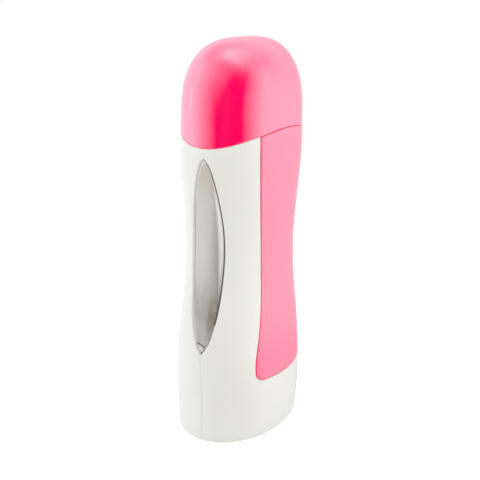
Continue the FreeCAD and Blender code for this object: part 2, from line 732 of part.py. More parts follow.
def mains_inlet():
    wide, tall = size.inlet_width + size.inlet_flange, size.inlet_tall + size.inlet_flange
    inner_length, inner_width = size.ankle_length - size.shell_wall, size.ankle_width - size.shell_wall
    wall_at_flange = inner_length * (1 - (wide / inner_width) ** 2) ** 0.5
    front = wall_at_flange - size.inlet_flange_play
    flange = block("inlet_flange", (-wide, wide), (front - size.inlet_flange, front),
                   (size.inlet_height - tall, size.inlet_height + tall))
    blank = fuse("inlet_blank", inlet_prism("inlet_block", as_size(0)), flange)
    socket = socket_prism("inlet_socket_room", size.inlet_back + size.inlet_floor, as_size(WIDE))
    bores = [rod(f"pin_bore_{side + 1}", size.pin_radius + size.fit_play, WIDE, side * size.pin_pitch,
                 0, size.inlet_height, "Y") for side in (-1, 1)]
    common("inlet_socket", cut("inlet_hollow", blank, socket, *bores), column(size.inlet_face))
    group("inlet_pins", [rod(f"pin_{side + 1}", size.pin_radius, size.pin_tip - size.pin_tail,
                             side * size.pin_pitch, size.pin_tail, size.inlet_height, "Y")
                         for side in (-1, 1)])


# ---------------------------------------------------------------- heater

def trough_back():
    return size.chamber_shift + size.chamber_length + size.trough_wall


def element_ends():
    low = size.floor_top + size.element_rise
    return low, low + size.element_tall


def clamp_screw_heights():
    low, high = element_ends()
    return low - size.clamp_screw, high + size.clamp_screw


def thermostat_ends():
    low = element_ends()[1] + size.thermostat_gap
    return low, low + size.thermostat_tall


def fuse_ends():
    low = thermostat_ends()[1] + size.fuse_gap
    return low, low + size.fuse_length


def back_plate(name, half_width, low, high, near, wall, holes=()):
    """A plate that stands on the trough's back, with round holes at the given heights."""
    body = new_body(name)
    sketch = body_sketch(body, f"{name}_outline", "XZ_Plane", -near - wall)
    draw_rounded(sketch, -half_width, half_width, low, high, size.screw_shank)
    pad(body, f"{name}_pad", sketch, wall)
    if holes:
        hole_sketch = body_sketch(body, f"{name}_holes", "XZ_Plane", -near - wall)
        for height in holes:
            draw_circle(hole_sketch, 0, height, size.screw_shank + size.fit_play)
        pocket(body, f"{name}_pocket", hole_sketch, wall, backwards=True)
    return body


def heater():
    near = trough_back()
    low, high = element_ends()
    wide, margin = size.element_width, size.sheet_margin
    back_plate("heating_element", wide, low, high, near, size.element_wall)
    near = near + size.element_wall
    back_plate("element_insulator", wide + margin, low - margin, high + margin, near, size.sheet_wall)
    near = near + size.sheet_wall
    clamp_low, clamp_high = low - size.clamp_margin, high + size.clamp_margin
    back_plate("element_clamp", wide, clamp_low, clamp_high, near, size.clamp_wall, clamp_screw_heights())
    seat = near + size.clamp_wall
    shank = seat - trough_back() + size.trough_wall / 2
    made = []
    for index, height in enumerate(clamp_screw_heights()):
        head = rod(f"clamp_screw_head_{index}", size.screw_head, size.screw_head_wall, 0, seat, height, "Y")
        body = rod(f"clamp_screw_shank_{index}", size.screw_shank - size.fit_play, shank, 0, seat - shank,
                   height, "Y")
        made.append(fuse(f"clamp_screw_{index}", head, body))
    group("clamp_screws", made)


def safety_parts():
    near = trough_back()
    back_plate("thermostat", size.thermostat_width, *thermostat_ends(), near, size.thermostat_wall)
    outer = size.fuse_radius + size.sleeve_wall
    axis_y, fuse_low = near + outer, fuse_ends()[0]
    rod("thermal_fuse", size.fuse_radius, size.fuse_length, 0, axis_y, fuse_low)
    sleeve_play = size.sleeve_wall * 2
    low, length = fuse_low - sleeve_play, size.fuse_length + 2 * sleeve_play
    cut("fuse_sleeve", rod("sleeve_outer", outer, length, 0, axis_y, low),
        rod("sleeve_inner", size.fuse_radius + size.fit_play, length, 0, axis_y, low))


# ---------------------------------------------------------------- pilot lamp

def board_top():
    return size.floor_top - size.floor_wall - size.board_drop


def pilot_lamp():
    top = board_top()
    board = (size.board_y - size.board_length, size.board_y + size.board_length)
    rounded_prism("circuit_board", (-size.board_width, size.board_width), board,
                  (top - size.board_wall, top), size.board_wall)
    flange_top = size.floor_top - size.floor_wall - size.loose_play
    flange_low = flange_top - size.lamp_flange_wall
    dome_middle = size.floor_top + size.lamp_rise - size.lamp_radius
    dome = place(add("Part::Sphere", "lamp_dome", Radius=size.lamp_radius), 0, size.lamp_y, dome_middle)
    fuse("pilot_lamp",
         rod("lamp_flange_disc", size.lamp_flange, size.lamp_flange_wall, 0, size.lamp_y, flange_low),
         rod("lamp_barrel", size.lamp_radius, dome_middle - flange_low, 0, size.lamp_y, flange_low), dome,
         *[rod(f"lamp_lead_{side + 1}", size.lead_radius, flange_low - top, side * size.lead_pitch,
               size.lamp_y, top) for side in (-1, 1)])
    length = size.resistor_length
    rod("board_resistor", size.resistor_radius, length, -length / 2, size.resistor_y,
        top + size.resistor_radius, "X")


# ---------------------------------------------------------------- internal leads

def rounded_path(points):
    """Straight runs joined by tangent arcs, each as large as its two runs allow."""
    edges, start = [], points[0]
    for before, corner, after in zip(points, points[1:], points[2:]):
        back, ahead = before - corner, after - corner
        half_turn = (math.pi - back.getAngle(ahead)) / 2
        trim = 0.45 * min(back.Length, ahead.Length)
        radius = trim / math.tan(half_turn)
        back.normalize()
        ahead.normalize()
        enter, leave = corner + back * trim, corner + ahead * trim
        inwards = (back + ahead).normalize()
        middle = corner + inwards * (radius / math.cos(half_turn) - radius)
        edges.append(Part.LineSegment(start, enter).toShape())
        edges.append(Part.Arc(enter, middle, leave).toShape())
        start = leave
    edges.append(Part.LineSegment(start, points[-1]).toShape())
    return Part.Wire(edges)


def lead(name, route):
    points = [FreeCAD.Vector(*[as_size(value).number for value in spot]) for spot in route]
    path = rounded_path(points)
    along = points[1] - points[0]
    rim = Part.Wire(Part.Circle(points[0], along, size.wire_radius.number).toShape())
    thing = doc.addObject("Part::Feature", name)
    thing.Shape = path.makePipeShell([rim], True, True)


def leads():
    """Live lead to the fuse, link to the thermostat, link to the element, neutral lead, lamp lead."""
    tail, height, pitch = size.pin_tail, size.inlet_height, size.pin_pitch
    behind, under = trough_back(), size.floor_top - size.floor_wall
    fuse_y = behind + size.fuse_radius + size.sleeve_wall
    fuse_low, fuse_high = fuse_ends()
    lead("live_lead", [
        (pitch, tail, height), (pitch, 14, height), (8.0, 15, under - 13), (9.0, behind + 2.2, under - 5),
        (8.6, behind + 1.7, under + 17), (8.0, behind + 1.1, under + 43), (7.9, behind + 1.3, fuse_low - 8),
        (7.4, behind + 1.8, fuse_high + 3), (4.5, fuse_y, fuse_high + 7), (0, fuse_y, fuse_high + 6),
        (0, fuse_y, fuse_high),
    ])
    lead("fuse_link", [(0, fuse_y, fuse_low), (0, fuse_y, thermostat_ends()[1])])
    side, centre = size.element_width / 2, behind + size.element_wall / 2
    element_low, element_high = element_ends()
    lead("element_link", [(side, centre, thermostat_ends()[0]), (side, centre, element_high)])
    lead("neutral_lead", [
        (-pitch, tail, height), (-pitch, 14, height), (-6.2, 15, under - 12), (-side, centre, under - 6),
        (-side, centre, element_low),
    ])
    board_low = board_top() - size.board_wall
    lead("lamp_lead", [
        (0, size.inlet_back, height), (0, 12, height), (0, -8, board_low - 10),
        (0, size.board_y, board_low - 9), (0, size.board_y, board_low),
    ])


# ---------------------------------------------------------------- build

NODES = (
    "left_shell", "right_shell", "rear_cover", "window_lens", "window_gasket", "neck_collar", "mouth_seal",
    "chamber_floor", "rest_pad", "heater_trough", "cap", "base_plate", "rubber_feet", "base_screws",
    "floor_screws", "inlet_socket", "inlet_pins", "heating_element", "element_insulator", "element_clamp",
    "clamp_screws", "thermostat", "thermal_fuse", "fuse_sleeve", "circuit_board", "pilot_lamp",
    "board_resistor", "live_lead", "fuse_link", "element_link", "neutral_lead", "lamp_lead",
)


def build():
    half_shells()
    rear_cover()
    window()
    neck_collar()
    mouth_seal()
    heater_trough()
    chamber_floor()
    rest_pad()
    cap()
    base_plate()
    rubber_feet()
    screws("base_screws", size.plate_bottom, upwards=True)
    screws("floor_screws", size.floor_top - size.screw_head_wall, upwards=False)
    mains_inlet()
    heater()
    safety_parts()
    pilot_lamp()
    leads()
    doc.recompute()


def export():
    failed = [thing.Name for thing in doc.Objects if {"Invalid", "Error"} & set(thing.State)]
    if failed:
        raise RuntimeError(f"these objects failed: {failed}")
    os.makedirs("parts", exist_ok=True)
    for name in NODES:
        node = doc.getObject(name)
        node.Label = name
        shape = node.Shape
        if shape.isNull() or not shape.isValid() or not shape.Solids:
            raise RuntimeError(f"{name} has no valid solid")
        shape.exportStep(f"parts/{name}.step")
        print(f"{name}: {len(shape.Solids)} solids, {shape.Volume:.1f} mm3")


build()
export()
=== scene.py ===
import json
import math
import bpy
import bmesh
import numpy as np
from mathutils import Matrix, Vector


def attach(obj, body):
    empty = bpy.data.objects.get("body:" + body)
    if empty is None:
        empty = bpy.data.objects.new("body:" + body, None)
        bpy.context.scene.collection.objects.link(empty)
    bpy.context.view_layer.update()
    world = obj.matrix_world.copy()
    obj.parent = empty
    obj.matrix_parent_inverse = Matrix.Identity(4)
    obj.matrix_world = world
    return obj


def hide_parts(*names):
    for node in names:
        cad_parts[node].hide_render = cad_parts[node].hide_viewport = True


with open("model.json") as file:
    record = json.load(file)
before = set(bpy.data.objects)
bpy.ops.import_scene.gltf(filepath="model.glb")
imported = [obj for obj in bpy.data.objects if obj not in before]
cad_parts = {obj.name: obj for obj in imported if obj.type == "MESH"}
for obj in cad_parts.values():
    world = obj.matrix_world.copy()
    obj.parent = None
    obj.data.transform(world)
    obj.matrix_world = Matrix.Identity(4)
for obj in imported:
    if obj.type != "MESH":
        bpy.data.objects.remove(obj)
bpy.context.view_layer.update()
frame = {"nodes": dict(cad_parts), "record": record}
mm = 0.001
print("frame loaded:", len(frame["nodes"]), "nodes")

# The outer form, in millimetres: height, half length (Y) and half width (X) of the oval. Turns are in degrees.
form = {
    "sections": [
        (0.8, 38.5, 28.0), (14.0, 37.7, 29.2), (30.0, 38.3, 29.0), (55.0, 39.5, 26.2),
        (85.0, 35.3, 23.9), (115.0, 34.9, 25.0), (145.0, 36.9, 26.4), (156.0, 36.9, 25.9),
    ],
    "top": 191.5,
    "domeStart": 156.0,
    "domeLength": 36.9,
    "domeWidth": 25.9,
    "domePowerLong": 3.36,
    "domePowerWide": 2.29,
    "domeAngles": (12, 24, 36, 48, 60, 70, 79, 86, 89),
    "archPeak": 153.3,          # seam between cap and body, an arch seen from the side
    "archRadius": 88.0,
    "archDrop": 1.1,            # how much lower its rear half runs
    "dropSpan": (-12.0, 12.0),  # where along its length it comes down
    "seamGap": 0.35,
    "meanRadius": 31.0,         # of the oval, to divide it into even cells
}


def ease(values, start, end):
    # 0 before start, 1 after end and smooth between them
    share = np.clip((values - start) / (end - start), 0, 1)
    return share * share * (3 - 2 * share)


def clamp(value, low, high):
    return min(max(value, low), high)


def smoothLine(knots, rows, endSlope=None):
    # cubic through the rows; ends are free, or have the slope given
    knots, rows = np.array(knots, float), np.array(rows, float)
    count = len(knots)
    step = np.diff(knots)
    slope = np.diff(rows, axis=0) / step[:, None]
    matrix, right = np.zeros((count, count)), np.zeros(rows.shape)
    for i in range(1, count - 1):
        matrix[i, i - 1:i + 2] = step[i], 2 * (step[i - 1] + step[i]), step[i - 1]
        right[i] = 3 * (step[i] * slope[i - 1] + step[i - 1] * slope[i])
    if endSlope is None:
        matrix[0, :2], right[0] = (2, 1), 3 * slope[0]
        matrix[-1, -2:], right[-1] = (1, 2), 3 * slope[-1]
    else:
        matrix[0, 0], right[0] = 1, endSlope
        matrix[-1, -1], right[-1] = 1, endSlope
    tangent = np.linalg.solve(matrix, right)

    def at(where):
        where = np.clip(where, knots[0], knots[-1])
        i = np.clip(np.searchsorted(knots, where) - 1, 0, count - 2)
        h = step[i][:, None]
        u = (where - knots[i])[:, None] / h
        return ((1 + 2 * u) * (1 - u) ** 2 * rows[i] + u * (1 - u) ** 2 * h * tangent[i]
                + u * u * (3 - 2 * u) * rows[i + 1] + u * u * (u - 1) * h * tangent[i + 1])
    return at


def formProfile():
    rows = [list(row) for row in form["sections"]]
    rise = form["top"] - form["domeStart"]
    power, wide = 2 / form["domePowerLong"], form["domePowerWide"]
    for angle in form["domeAngles"]:
        share = math.sin(math.radians(angle)) ** power
        shrink = math.cos(math.radians(angle)) ** power
        narrow = (1 - share ** wide) ** (1 / wide)
        rows.append([form["domeStart"] + rise * share, form["domeLength"] * shrink, form["domeWidth"] * narrow])
    rows.append([form["top"], 0.0, 0.0])
    runs = np.r_[0, np.cumsum(np.linalg.norm(np.diff(np.array(rows), axis=0), axis=1))]
    return smoothLine(runs, rows), runs


profile, runs = formProfile()
runAtHeight = np.linspace(runs[0], runs[-1], 2000)
heightAtRun = profile(runAtHeight)[:, 0]


def runAt(height):
    if height >= form["top"]:
        return float(runs[-1])
    return float(np.interp(height, heightAtRun, runAtHeight))


def layOn(angle, run):
    # points of the outer form and the directions that point out of it
    rows = profile(run)
    ahead, behind = run + 0.01, run - 0.01
    slope = profile(ahead) - profile(behind)
    slope = slope / (np.clip(ahead, None, runs[-1]) - np.clip(behind, 0, None))[:, None]
    cos, sin = np.cos(angle), np.sin(angle)
    points = np.stack([rows[:, 2] * cos, rows[:, 1] * sin, rows[:, 0]], axis=1)
    around = np.stack([-rows[:, 2] * sin, rows[:, 1] * cos, 0 * cos], axis=1)
    along = np.stack([slope[:, 2] * cos, slope[:, 1] * sin, slope[:, 0]], axis=1)
    out = np.cross(around, along)
    length = np.linalg.norm(out, axis=1)
    flat = length < 1e-6
    out[flat], length[flat] = (0, 0, 1), 1
    return points, out / length[:, None]


# Fields: how far a point of the form lies on the near side of a line, in millimetres.
far = 60.0


def seamField(points):
    drop = form["archDrop"] * ease(points[:, 1], *form["dropSpan"])
    centre = form["archPeak"] - form["archRadius"] - drop
    return form["archRadius"] - np.hypot(points[:, 1], points[:, 2] - centre)


window = {
    "turns": (-116, -64),       # part of the form that its pieces are cut from
    "heights": (46.0, 142.0),
    "middle": 93.8,
    "halfHeight": 46.9,
    "halfWidth": 8.15,
    "sideShift": 1.5,
    "sideLean": 0.6,
    "bulge": 0.72,              # how much wider the right side is below the top third
    "bulgeSpan": (131.0, 103.0),
    "lowBulge": 0.5,            # and how much more in the lowest third
    "lowBulgeSpan": (88.0, 64.0),
    "bulgeFoot": (46.0, 56.0),  # where both run out at the lower tip
    "borderLeft": 1.85,         # frosted border between the rim and the clear part; its pale paint is partly its own colour and partly a painted reflection, most where it widens on the right
    "borderRight": 0.3,
    "borderSwell": 2.85,        # how much wider it is half way up on the right
    "swellLow": (62.0, 96.0),   # heights where the extra width grows from below and from above
    "swellHigh": (140.0, 106.0),
    "lineShade": 5.0,           # how far the painted shade on the clear part reaches from that line
    "lineWidth": 0.4,           # darker line where the clear part starts
    "lensInset": 0.3,
    "lensDepth": 3.6,
    "lensGap": 0.46,            # rim of the opening to the edge of the glazing
    "edgeRim": 0.12,            # roundings of its edge, its joint, its border and its line
    "jointRim": 0.15,
    "borderRim": 0.06,
    "lineRim": 0.04,
    "borderFall": 0.75,         # how far the border slopes down to its edge
    "gasketInset": 0.7,
    "gasketDepth": 2.5,
    "gasketFrom": 0.05,
    "gasketTo": 0.55,
    "sealFrom": (63.0, 50.6),   # heights between which the seal on the right is painted pale, as painted light
    "footMiddle": (-1.6, 47.9), # arched joint at the lower tip, x and z
    "footRadius": 5.0,
    "footGap": 0.5,
    "footSeal": 1.3,
    "sealClear": 0.03,          # room between the seal in that joint and its sides
    "sealRim": 0.02,
}


def windowSides(points):
    # pointed outline: each side is the edge of an upright oval whose centre lies across the middle
    shift, lean = window["sideShift"], math.radians(window["sideLean"])
    wide = window["halfWidth"] + shift
    tall = window["halfHeight"] / math.sqrt(1 - (shift / wide) ** 2)
    rise = points[:, 2] - window["middle"]
    sides = []
    for side in (-1, 1):
        across = side * points[:, 0] + shift
        x = across * math.cos(lean) - rise * math.sin(lean)
        z = rise * math.cos(lean) + across * math.sin(lean)
        size = np.hypot(x / wide, z / tall) + 1e-9
        sides.append((size - 1) * size / np.hypot(x / wide ** 2, z / tall ** 2))
    height = points[:, 2]
    bulge = window["bulge"] * ease(height, *window["bulgeSpan"])
    bulge = bulge + window["lowBulge"] * ease(height, *window["lowBulgeSpan"])
    sides[1] = sides[1] - bulge * ease(height, *window["bulgeFoot"])
    return sides


def windowField(points):
    return np.where(points[:, 1] < 0, np.maximum(*windowSides(points)), far)


def borderSwell(points):
    # share of the border's extra width at each height
    return ease(points[:, 2], *window["swellLow"]) * ease(points[:, 2], *window["swellHigh"])


def glassField(points):
    left, right = windowSides(points)
    border = window["borderRight"] + window["borderSwell"] * borderSwell(points)
    return np.where(points[:, 1] < 0, np.maximum(left + window["borderLeft"], right + border), far)


def footField(points):
    x, z = window["footMiddle"]
    return np.where(points[:, 1] < 0, np.hypot(points[:, 0] - x, points[:, 2] - z) - window["footRadius"], far)


cover = {
    "turns": (-62, 242),
    "edge": [(38.0, 24.4), (55.0, 21.5), (85.0, 18.2), (115.0, 20.1), (145.0, 22.6)],   # height, distance
    "bottom": 31.7,
    "corner": 4.5,
    "gap": 0.35,
    "wall": 2.0,
    "topRim": 0.2,
    "edgeRim": 0.14,
}
coverLine = smoothLine(*zip(*[(height, [edge]) for height, edge in cover["edge"]]), endSlope=0)


def coverField(points):
    # inside the rear cover's outline, seen from the side
    fromEdge = points[:, 1] + coverLine(points[:, 2])[:, 0]
    fromBottom = points[:, 2] - cover["bottom"]
    corner = cover["corner"]
    inCorner = (fromEdge < corner) & (fromBottom < corner)
    rounded = corner - np.hypot(corner - fromEdge, corner - fromBottom)
    return np.where(inCorner, rounded, np.minimum(fromEdge, fromBottom))


inlet = {"height": 17.0, "halfWidth": 11.15, "halfHeight": 6.65, "corner": 2.5, "rim": 0.3}


def inletField(points):
    across = np.abs(points[:, 0]) - inlet["halfWidth"] + inlet["corner"]
    up = np.abs(points[:, 2] - inlet["height"]) - inlet["halfHeight"] + inlet["corner"]
    outside = np.hypot(np.maximum(across, 0), np.maximum(up, 0)) + np.minimum(np.maximum(across, up), 0)
    return np.where(points[:, 1] > 0, outside - inlet["corner"], far)


def heightField(points):
    return points[:, 2]


def sideField(points):
    return points[:, 0]


def lengthField(points):
    return points[:, 1]


def rim(field, level=0.0, radius=0.1, sign=1.0, fallFrom=None, fall=0.0, share=None):
    # an edge of a wall, rounded by the radius: the wall lies where sign * field is above the level
    return {"field": lambda points: sign * field(points) - level, "radius": radius,
            "fallFrom": fallFrom, "fall": fall, "share": share}


def rimDepth(edge, points):
    # how far the wall's face drops near the edge: a rounding, or an even fall from an inner line
    radius = edge["radius"]
    inside = edge["field"](points)
    short = np.clip(radius - inside, 0, radius)
    depth = radius - np.sqrt(np.maximum(radius ** 2 - short ** 2, 0))
    if edge["share"] is not None:
        depth = depth * edge["share"](points)
    if edge["fallFrom"] is not None:
        beyond = np.maximum(edge["fallFrom"](points), 0)
        depth = depth + edge["fall"] * beyond / (beyond + np.maximum(inside, 0) + 1e-6)
    return depth


scribing = {
    "merge": 0.004,         # a cut that passes a vertex as near as this goes through it
    "weld": 0.012,          # vertices as near as this become one
    "reach": 30.0,          # millimetres along the wall for one radian
    "step": 0.001,
    "leastSlope": 0.05,     # limits of the move that brings a cut onto its line
    "mostTurn": 0.02,
    "mostSlide": 0.5,
    "rimLines": (0.134, 0.5, 1.0),  # lines along a rim, as shares of its radius
}


def scribe(bm, field, level, clear=False):
    # each vertex holds its field value as x, so that a flat cut follows the line
    angle, run = np.array([vert.co[1:] for vert in bm.verts]).T
    values = field(layOn(angle, run)[0]) - level
    for vert, value in zip(bm.verts, values):
        vert.co.x = value
    cut = bmesh.ops.bisect_plane(
        bm, geom=bm.verts[:] + bm.edges[:] + bm.faces[:], dist=scribing["merge"],
        plane_co=(0, 0, 0), plane_no=(1, 0, 0), clear_inner=clear, clear_outer=False)
    fresh = [item for item in cut["geom_cut"] if isinstance(item, bmesh.types.BMVert)]
    if not fresh:
        return
    angle, run = np.array([vert.co[1:] for vert in fresh]).T
    reach, step = scribing["reach"], scribing["step"]
    mostTurn, mostSlide = scribing["mostTurn"], scribing["mostSlide"]
    value = field(layOn(angle, run)[0]) - level
    byAngle = (field(layOn(angle + step / reach, run)[0]) - level - value) / step
    byRun = (field(layOn(angle, run - step)[0]) - level - value) / -step
    steep = np.maximum(byAngle ** 2 + byRun ** 2, scribing["leastSlope"])
    for vert, turn, slide in zip(fresh, value * byAngle / steep / reach, value * byRun / steep):
        vert.co.y -= clamp(turn, -mostTurn, mostTurn)
        vert.co.z -= clamp(slide, -mostSlide, mostSlide)


def wallPanel(bm, turns, heights, cell, rims, outer, inner, paint=0):
    # a wall that follows the outer form, between two insets; its sheet reaches past the rims that cut it
    lowRun, highRun = runAt(heights[0]), runAt(heights[1])
    start, end = [math.radians(turn) for turn in turns]
    panel = bmesh.new()
    columns = max(4, round((end - start) * form["meanRadius"] / cell))
    rows = max(4, round((highRun - lowRun) / cell))
    bmesh.ops.create_grid(panel, x_segments=columns, y_segments=rows, size=1)
    for vert in panel.verts:
        across, up = (vert.co.x + 1) / 2, (vert.co.y + 1) / 2
        vert.co = (0, start + (end - start) * across, lowRun + (highRun - lowRun) * up)
    for edge in rims:
        scribe(panel, edge["field"], 0.0, clear=True)
        for share in scribing["rimLines"]:
            scribe(panel, edge["field"], edge["radius"] * share)
    spot = panel.verts.layers.float_vector.new("spot")
    angle, run = np.array([vert.co[1:] for vert in panel.verts]).T
    for vert, point in zip(panel.verts, layOn(angle, run)[0]):
        vert[spot] = (0, vert.co.y, vert.co.z)
        vert.co = point
    bmesh.ops.remove_doubles(panel, verts=panel.verts[:], dist=scribing["weld"])
    deep = bmesh.ops.extrude_face_region(panel, geom=panel.faces[:], use_keep_orig=True)
    for item in deep["geom"]:
        if isinstance(item, bmesh.types.BMVert):
            item[spot] = (1, *item[spot][1:])
    layer, angle, run = np.array([vert[spot][:] for vert in panel.verts]).T
    points, out = layOn(angle, run)
    depth = np.full(len(points), float(outer))
    fall = np.zeros(len(points))
    for edge in rims:
        fall = np.maximum(fall, rimDepth(edge, points))
    depth = np.where(layer > 0.5, inner, depth + fall)
    for vert, place in zip(panel.verts, points - out * depth[:, None]):
        vert.co = place * mm
    bmesh.ops.recalc_face_normals(panel, faces=panel.faces[:])
    for face in panel.faces:
        face.material_index = paint
    pour(panel, bm)


def pour(source, target):
    # adds one bmesh to another
    mesh = bpy.data.meshes.new("pour")
    source.to_mesh(mesh)
    source.free()
    target.from_mesh(mesh)
    bpy.data.meshes.remove(mesh)


def showItem(name, data):
    item = bpy.data.objects.new(name, data)
    bpy.context.scene.collection.objects.link(item)
    return item


def showMesh(name, bm, *materials):
    mesh = bpy.data.meshes.new(name)
    bm.to_mesh(mesh)
    bm.free()
    mesh.shade_smooth()
    for material in materials:
        mesh.materials.append(material)
    return showItem(name, mesh)


sharpAngle = math.radians(35)


def settle(name, bm, materials, body, nodes):
    # a finished piece: its mesh, materials, body and the nodes it stands for
    loose = [edge for edge in bm.edges if not edge.link_faces]
    bmesh.ops.delete(bm, geom=loose, context="EDGES")
    piece = showMesh(name, bm, *materials)
    piece.data.set_sharp_from_angle(angle=sharpAngle)
    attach(piece, body)
    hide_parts(*nodes)
    print(f"{name}: {len(piece.data.polygons)} faces")
    return piece


def finish(name):
    material = bpy.data.materials.new(name)
    material.use_nodes = True
    tree = material.node_tree
    return material, tree, tree.nodes["Principled BSDF"]


def join(source, target):
    source.id_data.links.new(source, target)


def fill(node, values):
    # constants straight on a node's own sockets
    for socket, value in values.items():
        node.inputs[socket].default_value = value


def noiseAt(tree, size, detail=2.0, stretch=(1, 1, 1)):
    # noise whose features are about size millimetres
    where = tree.nodes.new("ShaderNodeTexCoord")
    scaled = tree.nodes.new("ShaderNodeMapping")
    noise = tree.nodes.new("ShaderNodeTexNoise")
    fill(scaled, {"Scale": stretch})
    fill(noise, {"Scale": 1 / (size * mm), "Detail": detail})
    join(where.outputs["Object"], scaled.inputs["Vector"])
    join(scaled.outputs["Vector"], noise.inputs["Vector"])
    return noise.outputs["Fac"]


def relief(tree, shader, noise, strength, depth):
    # depth in millimetres
    bump = tree.nodes.new("ShaderNodeBump")
    fill(bump, {"Strength": strength, "Distance": depth * mm})
    join(noise, bump.inputs["Height"])
    join(bump.outputs["Normal"], shader.inputs["Normal"])


def unevenFinish(name, look, drift, gloss, grain, depth):
    # two colours that drift, uneven gloss and a fine relief; each noise is size, detail and stretch
    material, tree, shader = finish(name)
    tint = tree.nodes.new("ShaderNodeMix")
    tint.data_type = "RGBA"
    fill(tint, {6: (*look["colour"], 1), 7: (*look["deeper"], 1)})
    join(noiseAt(tree, *drift), tint.inputs[0])
    join(tint.outputs[2], shader.inputs["Base Color"])
    uneven = tree.nodes.new("ShaderNodeMapRange")
    fill(uneven, {"To Min": look["roughness"][0], "To Max": look["roughness"][1]})
    join(noiseAt(tree, *gloss), uneven.inputs["Value"])
    join(uneven.outputs["Result"], shader.inputs["Roughness"])
    relief(tree, shader, noiseAt(tree, *grain), look["relief"], depth)
    return material, tree, shader


def mouldedPlastic(name, look):
    # moulded plastic: soft colour drift and a fine tool texture
    patch, grain = look["patch"], look["grain"]
    material, tree, shader = unevenFinish(name, look, (patch,), (patch * 0.4, 4), (grain, 3), grain * 0.05)
    usual = {"ior": 1.5, "specular": 0.5, "clear": 0.0, "coat": 0.0, "coatRoughness": 0.03, "coatIor": 1.5}
    sockets = ("IOR", "Specular IOR Level", "Transmission Weight", "Coat Weight", "Coat Roughness", "Coat IOR")
    fill(shader, {socket: look.get(key, usual[key]) for socket, key in zip(sockets, usual)})
    if "coatFade" in look:
        # thinner polish towards the bottom
        where = tree.nodes.new("ShaderNodeTexCoord")
        split = tree.nodes.new("ShaderNodeSeparateXYZ")
        fade = tree.nodes.new("ShaderNodeMapRange")
        fade.interpolation_type = "SMOOTHSTEP"
        fill(fade, dict(zip(("From Min", "From Max", "To Min", "To Max"), look["coatFade"])))
        join(where.outputs["Object"], split.inputs[0])
        join(split.outputs["Z"], fade.inputs["Value"])
        join(fade.outputs["Result"], shader.inputs["Coat Weight"])
    return material


def metal(name, look):
    # bare metal with brushing or a fine grain
    grain, stretch = look["grain"], look.get("stretch", (1, 1, 1))
    fine = (grain, 4, stretch)
    material, tree, shader = unevenFinish(name, look, (grain * 3, 3, stretch), fine, fine, 0.02)
    fill(shader, {"Metallic": 1.0})
    return material


whiteShell = mouldedPlastic("whiteShell", {
    "colour": (0.665, 0.667, 0.614), "deeper": (0.65, 0.654, 0.60), "patch": 30.0,
    "roughness": (0.28, 0.36), "grain": 0.35, "relief": 0.15,
})
pinkCover = mouldedPlastic("pinkCover", {
    "colour": (1.0, 0.0, 0.105), "deeper": (0.98, 0.0, 0.095), "patch": 30.0,
    "roughness": (0.24, 0.32), "grain": 0.35, "relief": 0.1,
    "coat": 1.0, "coatRoughness": 0.12, "coatIor": 2.55, "specular": 0.0, "coatFade": (0.03, 0.075, 0.82, 1.0),
})
pinkCap = mouldedPlastic("pinkCap", {
    "colour": (1.0, 0.0, 0.115), "deeper": (0.98, 0.0, 0.105), "patch": 30.0,
    "roughness": (0.10, 0.14), "grain": 3.0, "relief": 0.02,
    "coat": 1.0, "coatRoughness": 0.08, "coatIor": 2.6, "specular": 0.0,
})
# painted shade: a darker pink for the cover's ledges, in place of the shade down in its gaps
pinkPaintedShade = mouldedPlastic("pinkPaintedShade", {
    "colour": (0.60, 0.14, 0.19), "deeper": (0.56, 0.13, 0.175), "patch": 20.0,
    "roughness": (0.5, 0.6), "grain": 0.35, "relief": 0.1, "specular": 0.1,
})
# dark seal: partly the seal's own dark colour, partly painted shade where it stands for the shaded gap on the
# right of the window
darkSealAndShade = mouldedPlastic("darkSealAndShade", {
    "colour": (0.13, 0.10, 0.08), "deeper": (0.10, 0.075, 0.06), "patch": 8.0,
    "roughness": (0.4, 0.5), "grain": 0.3, "relief": 0.2,
})
windowFoot = mouldedPlastic("windowFoot", {
    "colour": (0.64, 0.62, 0.575), "deeper": (0.52, 0.49, 0.44), "patch": 2.5,
    "roughness": (0.15, 0.25), "grain": 0.6, "relief": 0.1, "clear": 0.1,
})
# the same seal painted pale: painted light on the left of the window and low on its right
paleSealPaintedLight = mouldedPlastic("paleSealPaintedLight", {
    "colour": (0.60, 0.585, 0.54), "deeper": (0.52, 0.505, 0.465), "patch": 8.0,
    "roughness": (0.45, 0.6), "grain": 0.5, "relief": 0.15, "ior": 1.45,
})

chamberShade = {   # painted shade of the dim chamber behind, on all three: darker towards the bottom in streaks, a darker band, a darker lower right corner and brown patches; each span runs from no effect to the full one
    "tipSpan": (118.0, 134.0),
    "streak": (5.0, 3, (1, 1, 0.25)), "streakSpan": (0.1, 0.65),
    "bandTop": (87.0, 72.0), "bandBottom": (60.5, 68.0), "bandTint": (1.0, 0.985, 0.97),
    "cornerSide": (1.8, 4.4), "cornerTop": (70.0, 63.0), "cornerBottom": (56.5, 61.5),
    "cornerTone": (0.66, 0.64, 0.62),
    "brownShade": (0.20, 0.145, 0.11), "brownShadeSide": (0.8, 6.4), "brownShadeTop": (80.0, 65.0),
    "brownShadeBottom": (48.0, 56.0), "patch": (2.2, 4, (1, 1, 0.3)), "patchSpan": (0.3, 0.66),
    "ripple": (3.0, 2, (1, 1, 0.3)), "rippleStrength": 0.05, "rippleDepth": 0.1,
}


